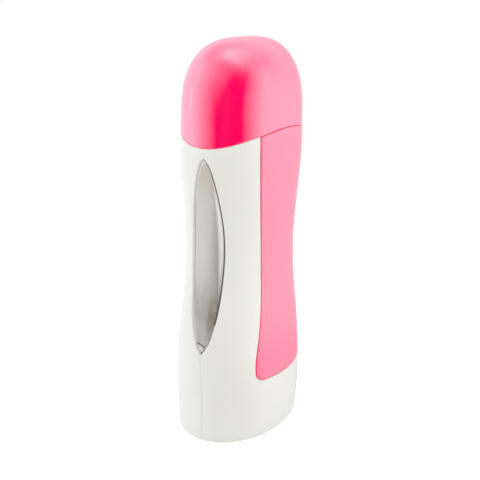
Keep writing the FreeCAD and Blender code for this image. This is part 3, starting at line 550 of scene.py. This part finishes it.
def glazingMaterial(name, look):
    # milky clear plastic over the dim chamber, darker towards its lower right as painted shade, with brown
    # patches of painted shade there
    material, tree, shader = finish(name)
    where = tree.nodes.new("ShaderNodeTexCoord")
    split = tree.nodes.new("ShaderNodeSeparateXYZ")
    join(where.outputs["Object"], split.inputs[0])

    def ramp(source, start, end):
        span = tree.nodes.new("ShaderNodeMapRange")
        span.interpolation_type = "SMOOTHSTEP"
        fill(span, {"From Min": start, "From Max": end})
        join(source, span.inputs["Value"])
        return span.outputs["Result"]

    def along(axis, span):
        return ramp(split.outputs[axis], span[0] * mm, span[1] * mm)

    def times(first, *others):
        for other in others:
            product = tree.nodes.new("ShaderNodeMath")
            product.operation = "MULTIPLY"
            join(first, product.inputs[0])
            join(other, product.inputs[1])
            first = product.outputs[0]
        return first

    def tinted(share, under, colour, blend="MIX"):
        mix = tree.nodes.new("ShaderNodeMix")
        mix.data_type = "RGBA"
        mix.blend_type = blend
        join(share, mix.inputs[0])
        fill(mix, {6: (*look["colour"], 1), 7: (*colour, 1)})
        if under is not None:
            join(under, mix.inputs[6])
        return mix.outputs[2]

    dim = chamberShade
    # painted shade: darker towards the bottom in streaks, towards the right, in a band and in the lower right
    # corner
    low = times(along("Z", look["lowSpan"]), ramp(noiseAt(tree, *dim["streak"]), *dim["streakSpan"]))
    side = times(along("X", look["sideSpan"]), along("Z", look["sideHeights"]))
    band = times(along("Z", dim["bandTop"]), along("Z", dim["bandBottom"]))
    corner = times(along("X", dim["cornerSide"]), along("Z", dim["cornerTop"]), along("Z", dim["cornerBottom"]))
    # brown patches of painted shade towards the lower right
    film = times(along("X", dim["brownShadeSide"]), along("Z", dim["brownShadeTop"]), along("Z", dim["brownShadeBottom"]),
                 ramp(noiseAt(tree, *dim["patch"]), *dim["patchSpan"]))
    shade = tinted(along("Z", dim["tipSpan"]), None, look["tip"])
    shade = tinted(low, shade, look["deeper"])
    shade = tinted(side, shade, look["deeper"])
    shade = tinted(band, shade, [look["bandTone"] * tint for tint in dim["bandTint"]], "MULTIPLY")
    shade = tinted(corner, shade, dim["cornerTone"], "MULTIPLY")
    # painted shade from the mesh's attributes: darker near the clear part's line and near both edges of the
    # border
    for label, start, end, tone in look["fades"]:
        value = tree.nodes.new("ShaderNodeAttribute")
        value.attribute_name = label
        shade = tinted(ramp(value.outputs["Fac"], start, end), shade, (tone, tone, tone), "MULTIPLY")
    shade = tinted(film, shade, dim["brownShade"])
    join(shade, shader.inputs["Base Color"])
    fill(shader, {"Roughness": look["roughness"], "Transmission Weight": look["clear"], "IOR": 1.5})
    relief(tree, shader, noiseAt(tree, *dim["ripple"]), dim["rippleStrength"], dim["rippleDepth"])
    return material


glazing = glazingMaterial("glazing", {
    "colour": (0.65, 0.64, 0.59), "tip": (0.62, 0.565, 0.50), "deeper": (0.50, 0.472, 0.425),
    "roughness": 0.06, "clear": 0.28, "bandTone": 0.82, "fades": [("nearLine", 0.1, 1.0, 0.84)],
    "lowSpan": (98.0, 60.0), "sideSpan": (-2.0, 6.5), "sideHeights": (140.0, 75.0),
})
# pale border: partly its own frosted colour, partly a painted reflection where it widens on the right; darker
# at both edges as painted shade
frostedBorderAndReflection = glazingMaterial("frostedBorderAndReflection", {
    "colour": (0.77, 0.765, 0.72), "tip": (0.74, 0.73, 0.68), "deeper": (0.34, 0.305, 0.265),
    "roughness": 0.12, "clear": 0.1, "bandTone": 0.75,
    "fades": [("across", 0.36, 0.0, 0.62), ("across", 0.52, 0.97, 0.5)],
    "lowSpan": (30.0, 20.0), "sideSpan": (0.0, 4.0), "sideHeights": (108.0, 61.0),
})
glazingLine = glazingMaterial("glazingLine", {
    "colour": (0.56, 0.54, 0.50), "tip": (0.48, 0.45, 0.41), "deeper": (0.30, 0.27, 0.235),
    "roughness": 0.25, "clear": 0.1, "bandTone": 0.8, "fades": [],
    "lowSpan": (98.0, 74.0), "sideSpan": (-5.0, 0.0), "sideHeights": (140.0, 75.0),
})
print("materials of the outer pieces ready")

halfGap = form["seamGap"] / 2
panelTop = 154.5    # walls below the cap run up to here before the seam cuts them
cellSize = {"cap": 1.1, "shell": 1.2, "inside": 2.0, "window": 0.9, "small": 1.0}   # size of a wall's faces
cap = {
    "bottom": 136.0, "wall": 2.2,
    "rimRadius": 0.9, "rimShare": 0.45, "rimLess": 0.2, "rimSpan": (-25.0, -17.0),  # less round at the rear
}
ledge = {"low": 140.0, "inset": 0.06, "coverInset": 0.5, "depth": 2.1, "under": 0.8, "clear": 0.03}
housing = {
    "turns": (-90, 90),
    "wall": 2.4, "openRim": 0.5, "topRim": 0.12,
    "partRadius": 0.26, "partLess": 0.7, "partSpan": (60.0, 120.0),     # rounding where the halves meet
    "lipInset": 2.3, "lipDepth": 3.75, "lipReach": 4.0, "lipRoot": 2.0,
    "bandFrom": 136.0, "bandBottom": 138.0,
    "windowClear": 1.35,
    "postX": 15.5, "postY": 22.0, "postRadius": 3.2, "postLow": 4.0, "postHigh": 43.0,
    "web": 1.6, "webReach": 6.8, "webTop": 27.0,
}
tab = {
    "turns": (-60, 10),
    "rows": [(55.0, -16.5), (85.0, -13.0), (115.0, -15.1)],     # middle height, place along the length
    "height": 7.0, "wall": 2.0, "start": 1.2, "depth": 4.6, "rim": 0.2,
    "hookFrom": 3.9, "hookReach": 2.2, "hookBack": 0.3,
}
rib = {"turn": 8, "half": 0.8, "low": 160.0, "high": 172.0, "inset": 1.6, "reach": 6.4}


def mirrorX(bm):
    bmesh.ops.scale(bm, vec=(-1, 1, 1), verts=bm.verts[:])
    bmesh.ops.reverse_faces(bm, faces=bm.faces[:])


def addRod(bm, radius, x, y, low, high):
    place = Matrix.Translation(Vector((x, y, (low + high) / 2)) * mm)
    bmesh.ops.create_cone(bm, cap_ends=True, segments=40, radius1=radius * mm, radius2=radius * mm,
                          depth=(high - low) * mm, matrix=place)


def addBlock(bm, low, high):
    low, high = Vector(low) * mm, Vector(high) * mm
    place = Matrix.Translation((low + high) / 2) @ Matrix.Diagonal((high - low).to_4d())
    bmesh.ops.create_cube(bm, size=1, matrix=place)


def strip(field, low, high, radius=0.1):
    # the two rims of a wall that lies where field is between low and high
    return [rim(field, level=low, radius=radius), rim(field, level=-high, radius=radius, sign=-1)]


def makeCap():
    bm = bmesh.new()
    lower = rim(seamField, level=halfGap, radius=cap["rimRadius"], sign=-1,
                share=lambda points: cap["rimShare"] - cap["rimLess"] * ease(points[:, 1], *cap["rimSpan"]))
    wallPanel(bm, (-180, 180), (cap["bottom"], form["top"]), cellSize["cap"], [lower], 0, cap["wall"])
    for middle, field in ((-90, sideField), (90, sideField), (0, lengthField), (180, lengthField)):
        turns, sides = (middle - rib["turn"], middle + rib["turn"]), strip(field, -rib["half"], rib["half"])
        wallPanel(bm, turns, (rib["low"], rib["high"]), cellSize["small"], sides, rib["inset"], rib["reach"])
    settle("domeCap", bm, [pinkCap], "cap", ["cap"])


def shellWalls(bm, side):
    # built on the right; the left one is mirrored afterwards, so it asks the window's other side
    mirrored = np.array([side, 1.0, 1.0])

    def opening(points):
        return windowField(points * mirrored)

    turns, bottom = housing["turns"], form["sections"][0][0]
    parting = rim(sideField, radius=housing["partRadius"],
                  share=lambda points: 1 - housing["partLess"] * ease(points[:, 2], *housing["partSpan"]))
    underCap = rim(seamField, level=halfGap, radius=housing["topRim"])
    rims = [parting, rim(heightField, level=bottom, radius=housing["openRim"]), underCap,
            rim(opening, radius=housing["openRim"]), rim(coverField, sign=-1, radius=housing["topRim"]),
            rim(inletField, radius=inlet["rim"])]
    wallPanel(bm, turns, (bottom, panelTop), cellSize["shell"], rims, 0, housing["wall"])
    # the ledge that closes the gap under the cap
    rims = [parting, *strip(seamField, ledge["clear"] - halfGap, ledge["under"]),
            rim(coverField, level=ledge["clear"], sign=-1)]
    wallPanel(bm, turns, (ledge["low"], panelTop), cellSize["shell"], rims, ledge["inset"], ledge["depth"])
    # the lip that carries the cover, and the band behind the top rim
    rims = [parting, underCap, *strip(coverField, -housing["lipRoot"], housing["lipReach"])]
    wallPanel(bm, turns, (cover["bottom"] - 4, panelTop), cellSize["inside"], rims,
              housing["lipInset"], housing["lipDepth"])
    rims = [parting, underCap, rim(heightField, level=housing["bandBottom"]),
            rim(coverField, level=housing["lipRoot"], sign=-1), rim(opening, level=housing["windowClear"])]
    wallPanel(bm, turns, (housing["bandFrom"], panelTop), cellSize["inside"], rims,
              housing["lipInset"], housing["lipDepth"])
    for end in (-1, 1):
        x, y, low, half = housing["postX"], end * housing["postY"], housing["postLow"], housing["web"] / 2
        addRod(bm, housing["postRadius"], x, y, low, housing["postHigh"])
        addBlock(bm, (x, y - half, low), (x + housing["webReach"], y + half, housing["webTop"]))


def makeShell(side, name, node):
    bm = bmesh.new()
    shellWalls(bm, side)
    if side < 0:
        mirrorX(bm)
    settle(name, bm, [whiteShell], "housing", [node])


def makeCover():
    bm = bmesh.new()
    turns, bottom, gap, wall = cover["turns"], cover["bottom"], cover["gap"], cover["wall"]
    underCap = rim(seamField, level=halfGap, radius=cover["topRim"])
    rims = [underCap, rim(coverField, level=gap, radius=cover["edgeRim"])]
    wallPanel(bm, turns, (bottom - 1, panelTop), cellSize["shell"], rims, 0, wall)
    # ledges that close the gaps above and beside it, painted a darker pink as painted shade down in those gaps
    rims = [*strip(seamField, ledge["clear"] - halfGap, ledge["under"]), rim(coverField, level=gap, radius=0.3)]
    wallPanel(bm, turns, (ledge["low"], panelTop), cellSize["shell"], rims, ledge["coverInset"], wall, 1)
    rims = [underCap, *strip(coverField, ledge["clear"], ledge["under"])]
    wallPanel(bm, turns, (bottom - 2, panelTop), cellSize["shell"], rims, ledge["coverInset"], wall, 1)
    for side in (-1, 1):
        tabs = bmesh.new()
        for middle, start in tab["rows"]:
            span = (middle - tab["height"], middle + tab["height"])
            heights = strip(heightField, middle - tab["height"] / 2, middle + tab["height"] / 2, tab["rim"])
            foot = strip(lengthField, start, start + tab["wall"], tab["rim"])
            hook = strip(lengthField, start - tab["hookReach"], start + tab["hookBack"], tab["rim"])
            for rims, inset in ((heights + foot, tab["start"]), (heights + hook, tab["hookFrom"])):
                wallPanel(tabs, tab["turns"], span, cellSize["small"], rims, inset, tab["depth"])
        if side < 0:
            mirrorX(tabs)
        pour(tabs, bm)
    settle("rearCover", bm, [pinkCover, pinkPaintedShade], "housing", ["rear_cover"])


def markBorder(mesh):
    # for the painted shade: place across the right border, and nearness of the clear part to its line
    points = np.array([vert.co[:] for vert in mesh.vertices]) / mm
    swell = borderSwell(points)
    border = window["borderRight"] + window["borderSwell"] * swell
    inner = windowSides(points)[1] + border
    across = 0.5 + (np.clip(inner / border, 0, 1) - 0.5) * swell
    nearLine = np.clip(1 + inner / window["lineShade"], 0, 1) * swell
    for label, values in (("across", across), ("nearLine", nearLine)):
        mesh.attributes.new(label, "FLOAT", "POINT").data.foreach_set("value", values)


def windowPanel(bm, rims, inset, depth, paint):
    wallPanel(bm, window["turns"], window["heights"], cellSize["window"], rims, inset, depth, paint)


def makeLens():
    gap, line = window["footGap"], window["lineWidth"]
    borderRim, lineRim = window["borderRim"], window["lineRim"]
    edge = rim(windowField, level=window["lensGap"], radius=window["edgeRim"], sign=-1,
               fallFrom=glassField, fall=window["borderFall"])
    above = rim(footField, level=gap)
    parts = [
        [above, rim(glassField, level=line, sign=-1, radius=lineRim)],
        [above, rim(glassField, radius=borderRim)],
        [above, rim(glassField, sign=-1, radius=borderRim), rim(glassField, level=-line, radius=lineRim)],
        [rim(footField, level=gap, radius=window["jointRim"], sign=-1)],
    ]
    bm = bmesh.new()
    for paint, part in enumerate(parts):
        windowPanel(bm, [edge] + part, window["lensInset"], window["lensDepth"], paint)
    lens = settle("windowLens", bm, [glazing, frostedBorderAndReflection, glazingLine, windowFoot],
                  "housing", ["window_lens"])
    markBorder(lens.data)


def makeGasket():
    fine, depth = window["sealRim"], window["gasketDepth"]
    ring = [rim(windowField, level=window["gasketFrom"], sign=-1), rim(windowField, level=-window["gasketTo"])]
    high, low = window["sealFrom"]
    onRight = rim(sideField, radius=fine)
    pale = strip(heightField, low, high, fine)
    # painted light and shade: the seal is dark on the right side of the window, and pale on its left and low on
    # its right
    parts = [
        (1, [rim(sideField, radius=fine, sign=-1)]),
        (0, [onRight, rim(heightField, level=high, radius=fine)]),
        (1, [onRight, *reversed(pale)]),
        (0, [onRight, rim(heightField, level=-low, radius=fine, sign=-1)]),
    ]
    bm = bmesh.new()
    for paint, part in parts:
        windowPanel(bm, ring + part, window["gasketInset"], depth, paint)
    half = window["footGap"] - window["sealClear"]
    joint = [*strip(footField, -half, half, fine),
             rim(windowField, level=window["gasketTo"] + 0.05, radius=fine, sign=-1)]
    windowPanel(bm, joint, window["footSeal"], depth, 0)
    settle("windowGasket", bm, [darkSealAndShade, paleSealPaintedLight], "housing", ["window_gasket"])


makeCap()
makeShell(1, "rightShell", "right_shell")
makeShell(-1, "leftShell", "left_shell")
makeCover()
makeLens()
makeGasket()

slotFinish = {
    "white_shell": whiteShell, "pink_shell": pinkCover, "cap_pink": pinkCap, "clear_window": glazing,
    "grey_seal": mouldedPlastic("siliconeSeal", {
        "colour": (0.42, 0.42, 0.41), "deeper": (0.37, 0.37, 0.36), "patch": 8.0,
        "roughness": (0.38, 0.5), "grain": 0.4, "relief": 0.2}),
    "black_rubber": mouldedPlastic("blackRubber", {
        "colour": (0.035, 0.035, 0.036), "deeper": (0.022, 0.022, 0.022), "patch": 5.0,
        "roughness": (0.55, 0.75), "grain": 0.3, "relief": 0.5}),
    "heat_plastic": mouldedPlastic("heatPlastic", {
        "colour": (0.60, 0.595, 0.555), "deeper": (0.56, 0.555, 0.51), "patch": 18.0,
        "roughness": (0.36, 0.48), "grain": 0.35, "relief": 0.3}),
    "dark_plastic": mouldedPlastic("darkPlastic", {
        "colour": (0.035, 0.035, 0.038), "deeper": (0.025, 0.025, 0.028), "patch": 8.0,
        "roughness": (0.32, 0.45), "grain": 0.3, "relief": 0.35}),
    "trough_metal": metal("troughMetal", {
        "colour": (0.66, 0.655, 0.64), "deeper": (0.56, 0.555, 0.54), "grain": 0.25,
        "roughness": (0.3, 0.45), "relief": 0.25, "stretch": (1, 1, 0.04)}),
    "screw_steel": metal("screwSteel", {
        "colour": (0.58, 0.58, 0.57), "deeper": (0.48, 0.48, 0.47), "grain": 0.5,
        "roughness": (0.22, 0.36), "relief": 0.15}),
    "pin_brass": metal("pinBrass", {
        "colour": (0.72, 0.60, 0.36), "deeper": (0.64, 0.52, 0.29), "grain": 0.5,
        "roughness": (0.18, 0.3), "relief": 0.12}),
    "ceramic": mouldedPlastic("ceramic", {
        "colour": (0.72, 0.69, 0.62), "deeper": (0.66, 0.62, 0.55), "patch": 4.0,
        "roughness": (0.5, 0.7), "grain": 0.25, "relief": 0.5}),
    "film": mouldedPlastic("amberFilm", {
        "colour": (0.48, 0.20, 0.03), "deeper": (0.40, 0.15, 0.02), "patch": 6.0,
        "roughness": (0.15, 0.3), "grain": 2.0, "relief": 0.3}),
    "board": mouldedPlastic("boardGreen", {
        "colour": (0.02, 0.14, 0.06), "deeper": (0.03, 0.20, 0.09), "patch": 1.2,
        "roughness": (0.2, 0.35), "grain": 0.6, "relief": 0.2}),
    "lamp_red": mouldedPlastic("lampRed", {
        "colour": (0.75, 0.03, 0.02), "deeper": (0.6, 0.02, 0.015), "patch": 3.0,
        "roughness": (0.08, 0.14), "grain": 2.0, "relief": 0.05, "coat": 0.6}),
    "wire_blue": mouldedPlastic("wireBlue", {
        "colour": (0.02, 0.07, 0.36), "deeper": (0.015, 0.055, 0.3), "patch": 6.0,
        "roughness": (0.35, 0.5), "grain": 0.4, "relief": 0.2}),
    "wire_brown": mouldedPlastic("wireBrown", {
        "colour": (0.13, 0.05, 0.025), "deeper": (0.1, 0.035, 0.018), "patch": 6.0,
        "roughness": (0.35, 0.5), "grain": 0.4, "relief": 0.2}),
}

softEdges = {   # how far the edges of the inner pieces are rounded, in millimetres
    "neck_collar": 0.4, "mouth_seal": 0.25, "chamber_floor": 0.25, "rest_pad": 0.4,
    "heater_trough": 0.15, "base_plate": 0.4, "rubber_feet": 0.5, "base_screws": 0.15,
    "floor_screws": 0.15, "inlet_socket": 0.3, "inlet_pins": 0.3, "heating_element": 0.2,
    "element_insulator": 0.05, "element_clamp": 0.15, "clamp_screws": 0.15, "thermostat": 0.3,
    "thermal_fuse": 0.2, "fuse_sleeve": 0.1, "circuit_board": 0.1, "pilot_lamp": 0.1,
    "board_resistor": 0.3, "live_lead": 0, "fuse_link": 0, "element_link": 0,
    "neutral_lead": 0, "lamp_lead": 0,
}
screwAxes = {"base_screws": (0, 0, -1), "floor_screws": (0, 0, -1), "clamp_screws": (0, 1, 0)}
recess = {"reach": 0.55, "width": 0.13, "depth": 0.7}   # shares of the head's radius, and millimetres
footDish = {"rim": 1.3, "slope": 0.3, "depth": 0.5}


def outermost(bm, axis):
    # the flat faces that lie furthest out along an axis
    reach = max(face.calc_center_median().dot(axis) for face in bm.faces)
    return [face for face in bm.faces if face.normal.dot(axis) > 0.999
            and reach - face.calc_center_median().dot(axis) < 1e-5]


def crossRecess(bm, axis):
    # a driver's cross in the end of every screw head
    across = axis.orthogonal().normalized()
    for head in outermost(bm, axis):
        centre = head.calc_center_bounds()
        radius = max((vert.co - centre).length for vert in head.verts)
        long, half = radius * recess["reach"], radius * recess["width"]
        region = [head]
        for direction in (across, axis.cross(across)):
            for offset in (-long, -half, half, long):
                parts = [*region, *(edge for face in region for edge in face.edges),
                         *(vert for face in region for vert in face.verts)]
                cut = bmesh.ops.bisect_plane(bm, geom=list(dict.fromkeys(parts)), dist=1e-7, plane_no=direction,
                                             plane_co=centre + direction * offset)
                region = [item for item in cut["geom"] if isinstance(item, bmesh.types.BMFace)]
        cross = []
        for face in region:
            place = face.calc_center_median() - centre
            near, wide = sorted(abs(place.dot(direction)) for direction in (across, axis.cross(across)))
            if near < half and wide < long:
                cross.append(face)
        deep = bmesh.ops.extrude_face_region(bm, geom=cross)
        moved = [item for item in deep["geom"] if isinstance(item, bmesh.types.BMVert)]
        bmesh.ops.translate(bm, verts=moved, vec=-axis * recess["depth"] * mm)
        bmesh.ops.delete(bm, geom=cross, context="FACES")
    bmesh.ops.recalc_face_normals(bm, faces=bm.faces[:])


def finishNode(name, edge):
    # a merged copy of the frame's own piece, with its sharp edges softened
    slot = next(part["material_slot"] for part in frame["record"]["subparts"] if part["node"] == name)
    bm = bmesh.new()
    bm.from_mesh(frame["nodes"][name].data)
    bmesh.ops.remove_doubles(bm, verts=bm.verts[:], dist=1e-6)
    bmesh.ops.dissolve_limit(bm, angle_limit=math.radians(1), verts=bm.verts[:], edges=bm.edges[:])
    sharp = [item for item in bm.edges if item.is_manifold and item.calc_face_angle(0) > sharpAngle]
    if edge and sharp:
        bmesh.ops.bevel(bm, geom=sharp, offset=edge * mm, offset_type="OFFSET", segments=2, profile=0.5,
                        affect="EDGES", clamp_overlap=True, material=-1)
    if name in screwAxes:
        crossRecess(bm, Vector(screwAxes[name]))
    if name == "rubber_feet":
        for foot in outermost(bm, Vector((0, 0, -1))):
            bmesh.ops.inset_region(bm, faces=[foot], thickness=footDish["rim"] * mm, use_even_offset=True)
            bmesh.ops.inset_region(bm, faces=[foot], thickness=footDish["slope"] * mm,
                                     depth=-footDish["depth"] * mm)
    piece = settle(f"finished_{name}", bm, [slotFinish[slot]], bodyOf[name], [name])
    shade = piece.modifiers.new("evenShade", "WEIGHTED_NORMAL")
    shade.keep_sharp = True


bodyOf = {node: body for body, nodes in frame["record"]["behaviour"]["bodies"].items() for node in nodes}
for name, edge in softEdges.items():
    finishNode(name, edge)

camera = {
    "azimuth": 27.768, "elevation": 18.7785, "roll": 0.9796,    # degrees
    "distance": 0.39476, "target": (0.0, 0.0, 0.085),
    "focal": 789.52, "picture": 480, "centre": (0.627, 16.69),  # in pixels
    "sensor": 36.0,
}


def towards(azimuth, elevation):
    # azimuth 0 is -Y and 90 is +X, in degrees
    azimuth, elevation = math.radians(azimuth), math.radians(elevation)
    return Vector((math.sin(azimuth) * math.cos(elevation), -math.cos(azimuth) * math.cos(elevation),
                   math.sin(elevation)))


def makeCamera():
    data = bpy.data.cameras.new("camera")
    data.sensor_width = camera["sensor"]
    data.sensor_fit = "HORIZONTAL"
    data.lens = camera["focal"] / camera["picture"] * camera["sensor"]
    data.shift_x = -camera["centre"][0] / camera["picture"]
    data.shift_y = camera["centre"][1] / camera["picture"]
    back = towards(camera["azimuth"], camera["elevation"])
    level = Vector((0, 0, 1)).cross(back).normalized()
    up = back.cross(level)
    roll = math.radians(camera["roll"])
    right = level * math.cos(roll) + up * math.sin(roll)
    up = up * math.cos(roll) - level * math.sin(roll)
    place = Vector(camera["target"]) + back * camera["distance"]
    turn = Matrix((right, up, back)).transposed()
    item = showItem("camera", data)
    item.matrix_world = Matrix.Translation(place) @ turn.to_4x4()
    bpy.context.scene.camera = item


makeCamera()
print("camera placed")

tent = {   # a dome of light that only polished surfaces see; angles in degrees
    "radius": 1.4,
    "segments": (180, 90),
    "fromElevation": -86.0,
    "glow": 1.9,
    "tint": (1.0, 1.0, 1.09),
    "openingLeft": 6.5,         # azimuths between which it is open, on the camera's side
    "openingRight": 63.0,
    "leftLean": -10.0,          # how far those edges have moved at leanAt, and no further than leanTop
    "rightLean": 28.0,
    "rightCurve": 1.6,
    "leanAt": 43.0,
    "leanTop": 75.0,
    "openingTop": 8.0,          # elevation of its top edge at topAt, which rises to the right
    "topLean": 0.74,
    "topAt": 20.0,
    "topSpan": (-20.0, 90.0),
    "featherLeft": 71.0,
    "featherRight": 39.0,
    "featherTop": 92.0,
    "zenithSpan": (66.0, 88.0), # elevations where the opening closes overhead
    "backAzimuth": 196.5,       # its dim side, behind the object
    "backWidth": 42.0,
    "backDim": 0.5,
    "backSpan": (55.0, 20.0),
    "overheadDim": 0.34,
    "overheadSpan": (35.0, 60.0),
    "underDim": 0.1,
    "underSpan": (0.0, -24.0),
    "floorFall": 0.55,          # how much dimmer it is straight below
    "floorSpan": (-32.0, -57.0),
    "patches": [                # azimuth, elevation, radius and strength
        (113.0, 65.7, 21.8, 1.14),
        (132.6, 50.6, 18.8, -0.6),
        (-78.0, 5.0, 7.0, 0.3),
    ],
}


def evenly(value, start, end):
    # 0 before start, 1 after end and even between them
    return clamp((value - start) / (end - start), 0, 1)


def tentGlow(azimuth, elevation):
    high = clamp(elevation, 0, tent["leanTop"]) / tent["leanAt"]
    left = tent["openingLeft"] + tent["leftLean"] * high
    right = tent["openingRight"] + tent["rightLean"] * high ** tent["rightCurve"]
    top = tent["openingTop"] + tent["topLean"] * (clamp(azimuth, *tent["topSpan"]) - tent["topAt"])
    outside = (max(0, left - azimuth) / tent["featherLeft"], max(0, azimuth - right) / tent["featherRight"],
               max(0, elevation - top) / tent["featherTop"])
    front = min(1, math.hypot(*outside))
    front += (1 - front) * float(ease(elevation, *tent["zenithSpan"]))
    away = abs((azimuth - tent["backAzimuth"] + 180) % 360 - 180) / tent["backWidth"]
    back = 1 - tent["backDim"] * evenly(elevation, *tent["backSpan"]) * math.exp(-away ** 2)
    overhead = 1 - tent["overheadDim"] * evenly(elevation, *tent["overheadSpan"])
    below = float(ease(elevation, *tent["floorSpan"]))
    front, back = front + (1 - front) * below, back + (1 - back) * below
    under = 1 - tent["underDim"] * evenly(elevation, *tent["underSpan"]) - tent["floorFall"] * below
    patches = 0
    for turn, rise, radius, strength in tent["patches"]:
        apart = math.degrees(towards(azimuth, elevation).angle(towards(turn, rise), 0))
        patches += strength * math.exp(-(apart / radius) ** 2)
    return max(0, tent["glow"] * (front * back * overhead * under + patches))


def glowMaterial(name):
    # emission as strong as the mesh's own glow attribute says
    material = bpy.data.materials.new(name)
    material.use_nodes = True
    tree = material.node_tree
    tree.nodes.clear()
    out = tree.nodes.new("ShaderNodeOutputMaterial")
    light = tree.nodes.new("ShaderNodeEmission")
    fill(light, {"Color": (*tent["tint"], 1)})
    value = tree.nodes.new("ShaderNodeAttribute")
    value.attribute_name = "glow"
    join(value.outputs["Fac"], light.inputs["Strength"])
    join(light.outputs[0], out.inputs["Surface"])
    return material


def makeTent():
    bm = bmesh.new()
    around, up = tent["segments"]
    bmesh.ops.create_uvsphere(bm, u_segments=around, v_segments=up, radius=tent["radius"])
    lowest = math.sin(math.radians(tent["fromElevation"])) * tent["radius"]
    low = [vert for vert in bm.verts if vert.co.z < lowest]
    bmesh.ops.delete(bm, geom=low, context="VERTS")
    glow = bm.verts.layers.float.new("glow")
    for vert in bm.verts:
        x, y, z = vert.co
        azimuth = math.degrees(math.atan2(x, -y))
        vert[glow] = tentGlow(azimuth, math.degrees(math.atan2(z, math.hypot(x, y))))
    item = showMesh("lightTent", bm, glowMaterial("tentCloth"))
    item.visible_camera = item.visible_diffuse = item.visible_shadow = False


makeTent()

lampDistance, lampSize, lampAim = 1.1, 0.7, Vector((0, 0, 0.09))
lamps = {   # azimuth, elevation, share of the light at the object
    "frontLamp": (28, 12, 0.39),
    "leftLamp": (-60, 25, 0.34),
    "rightLamp": (110, 25, 0.29),
    "backLamp": (200, 25, 0.31),
    "topLamp": (60, 75, 0.27),
}


def areaLamp(name, azimuth, elevation, share):
    data = bpy.data.lights.new(name, "AREA")
    data.shape = "DISK"
    data.size = lampSize
    data.energy = share * (math.pi * lampDistance) ** 2
    back = towards(azimuth, elevation)
    lamp = showItem(name, data)
    lamp.location = lampAim + back * lampDistance
    lamp.rotation_euler = back.to_track_quat("Z", "Y").to_euler()
    lamp.visible_glossy = False


for name, setting in lamps.items():
    areaLamp(name, *setting)

studio = {"worldDiffuse": 0.55, "floorHalf": 6.0, "floorColour": 0.8, "floorSeen": 0.3, "floorGlow": 0.92}


def seenRays(tree):
    # 1 for rays that should find a white background: camera, gloss and clear material
    rays = tree.nodes.new("ShaderNodeLightPath")
    total = rays.outputs["Is Camera Ray"]
    for kind in ("Is Glossy Ray", "Is Transmission Ray"):
        either = tree.nodes.new("ShaderNodeMath")
        either.operation = "MAXIMUM"
        join(total, either.inputs[0])
        join(rays.outputs[kind], either.inputs[1])
        total = either.outputs[0]
    return total


def between(tree, share, low, high):
    # low where the share is 0, high where it is 1
    span = tree.nodes.new("ShaderNodeMapRange")
    fill(span, {"To Min": low, "To Max": high})
    join(share, span.inputs["Value"])
    return span.outputs["Result"]


def makeWorld():
    world = bpy.data.worlds.new("studio")
    bpy.context.scene.world = world
    world.use_nodes = True
    tree = world.node_tree
    ground = tree.nodes["Background"]
    fill(ground, {"Color": (1, 1, 1, 1)})
    join(between(tree, seenRays(tree), studio["worldDiffuse"], 1.0), ground.inputs["Strength"])


def makeFloor():
    material, tree, shader = finish("floorPaper")
    fill(shader, {"Roughness": 1.0, "Specular IOR Level": 0.0, "Emission Color": (1, 1, 1, 1)})
    seen = tree.nodes.new("ShaderNodeLightPath").outputs["Is Camera Ray"]
    join(between(tree, seen, studio["floorColour"], studio["floorSeen"]), shader.inputs["Base Color"])
    join(between(tree, seen, 0.0, studio["floorGlow"]), shader.inputs["Emission Strength"])
    bm = bmesh.new()
    bmesh.ops.create_grid(bm, x_segments=1, y_segments=1, size=studio["floorHalf"])
    floor = showMesh("floor", bm, material)
    floor.visible_glossy = False


makeWorld()
makeFloor()
print("tent, lamps and floor placed")

bpy.context.scene.view_settings.view_transform = "Standard"
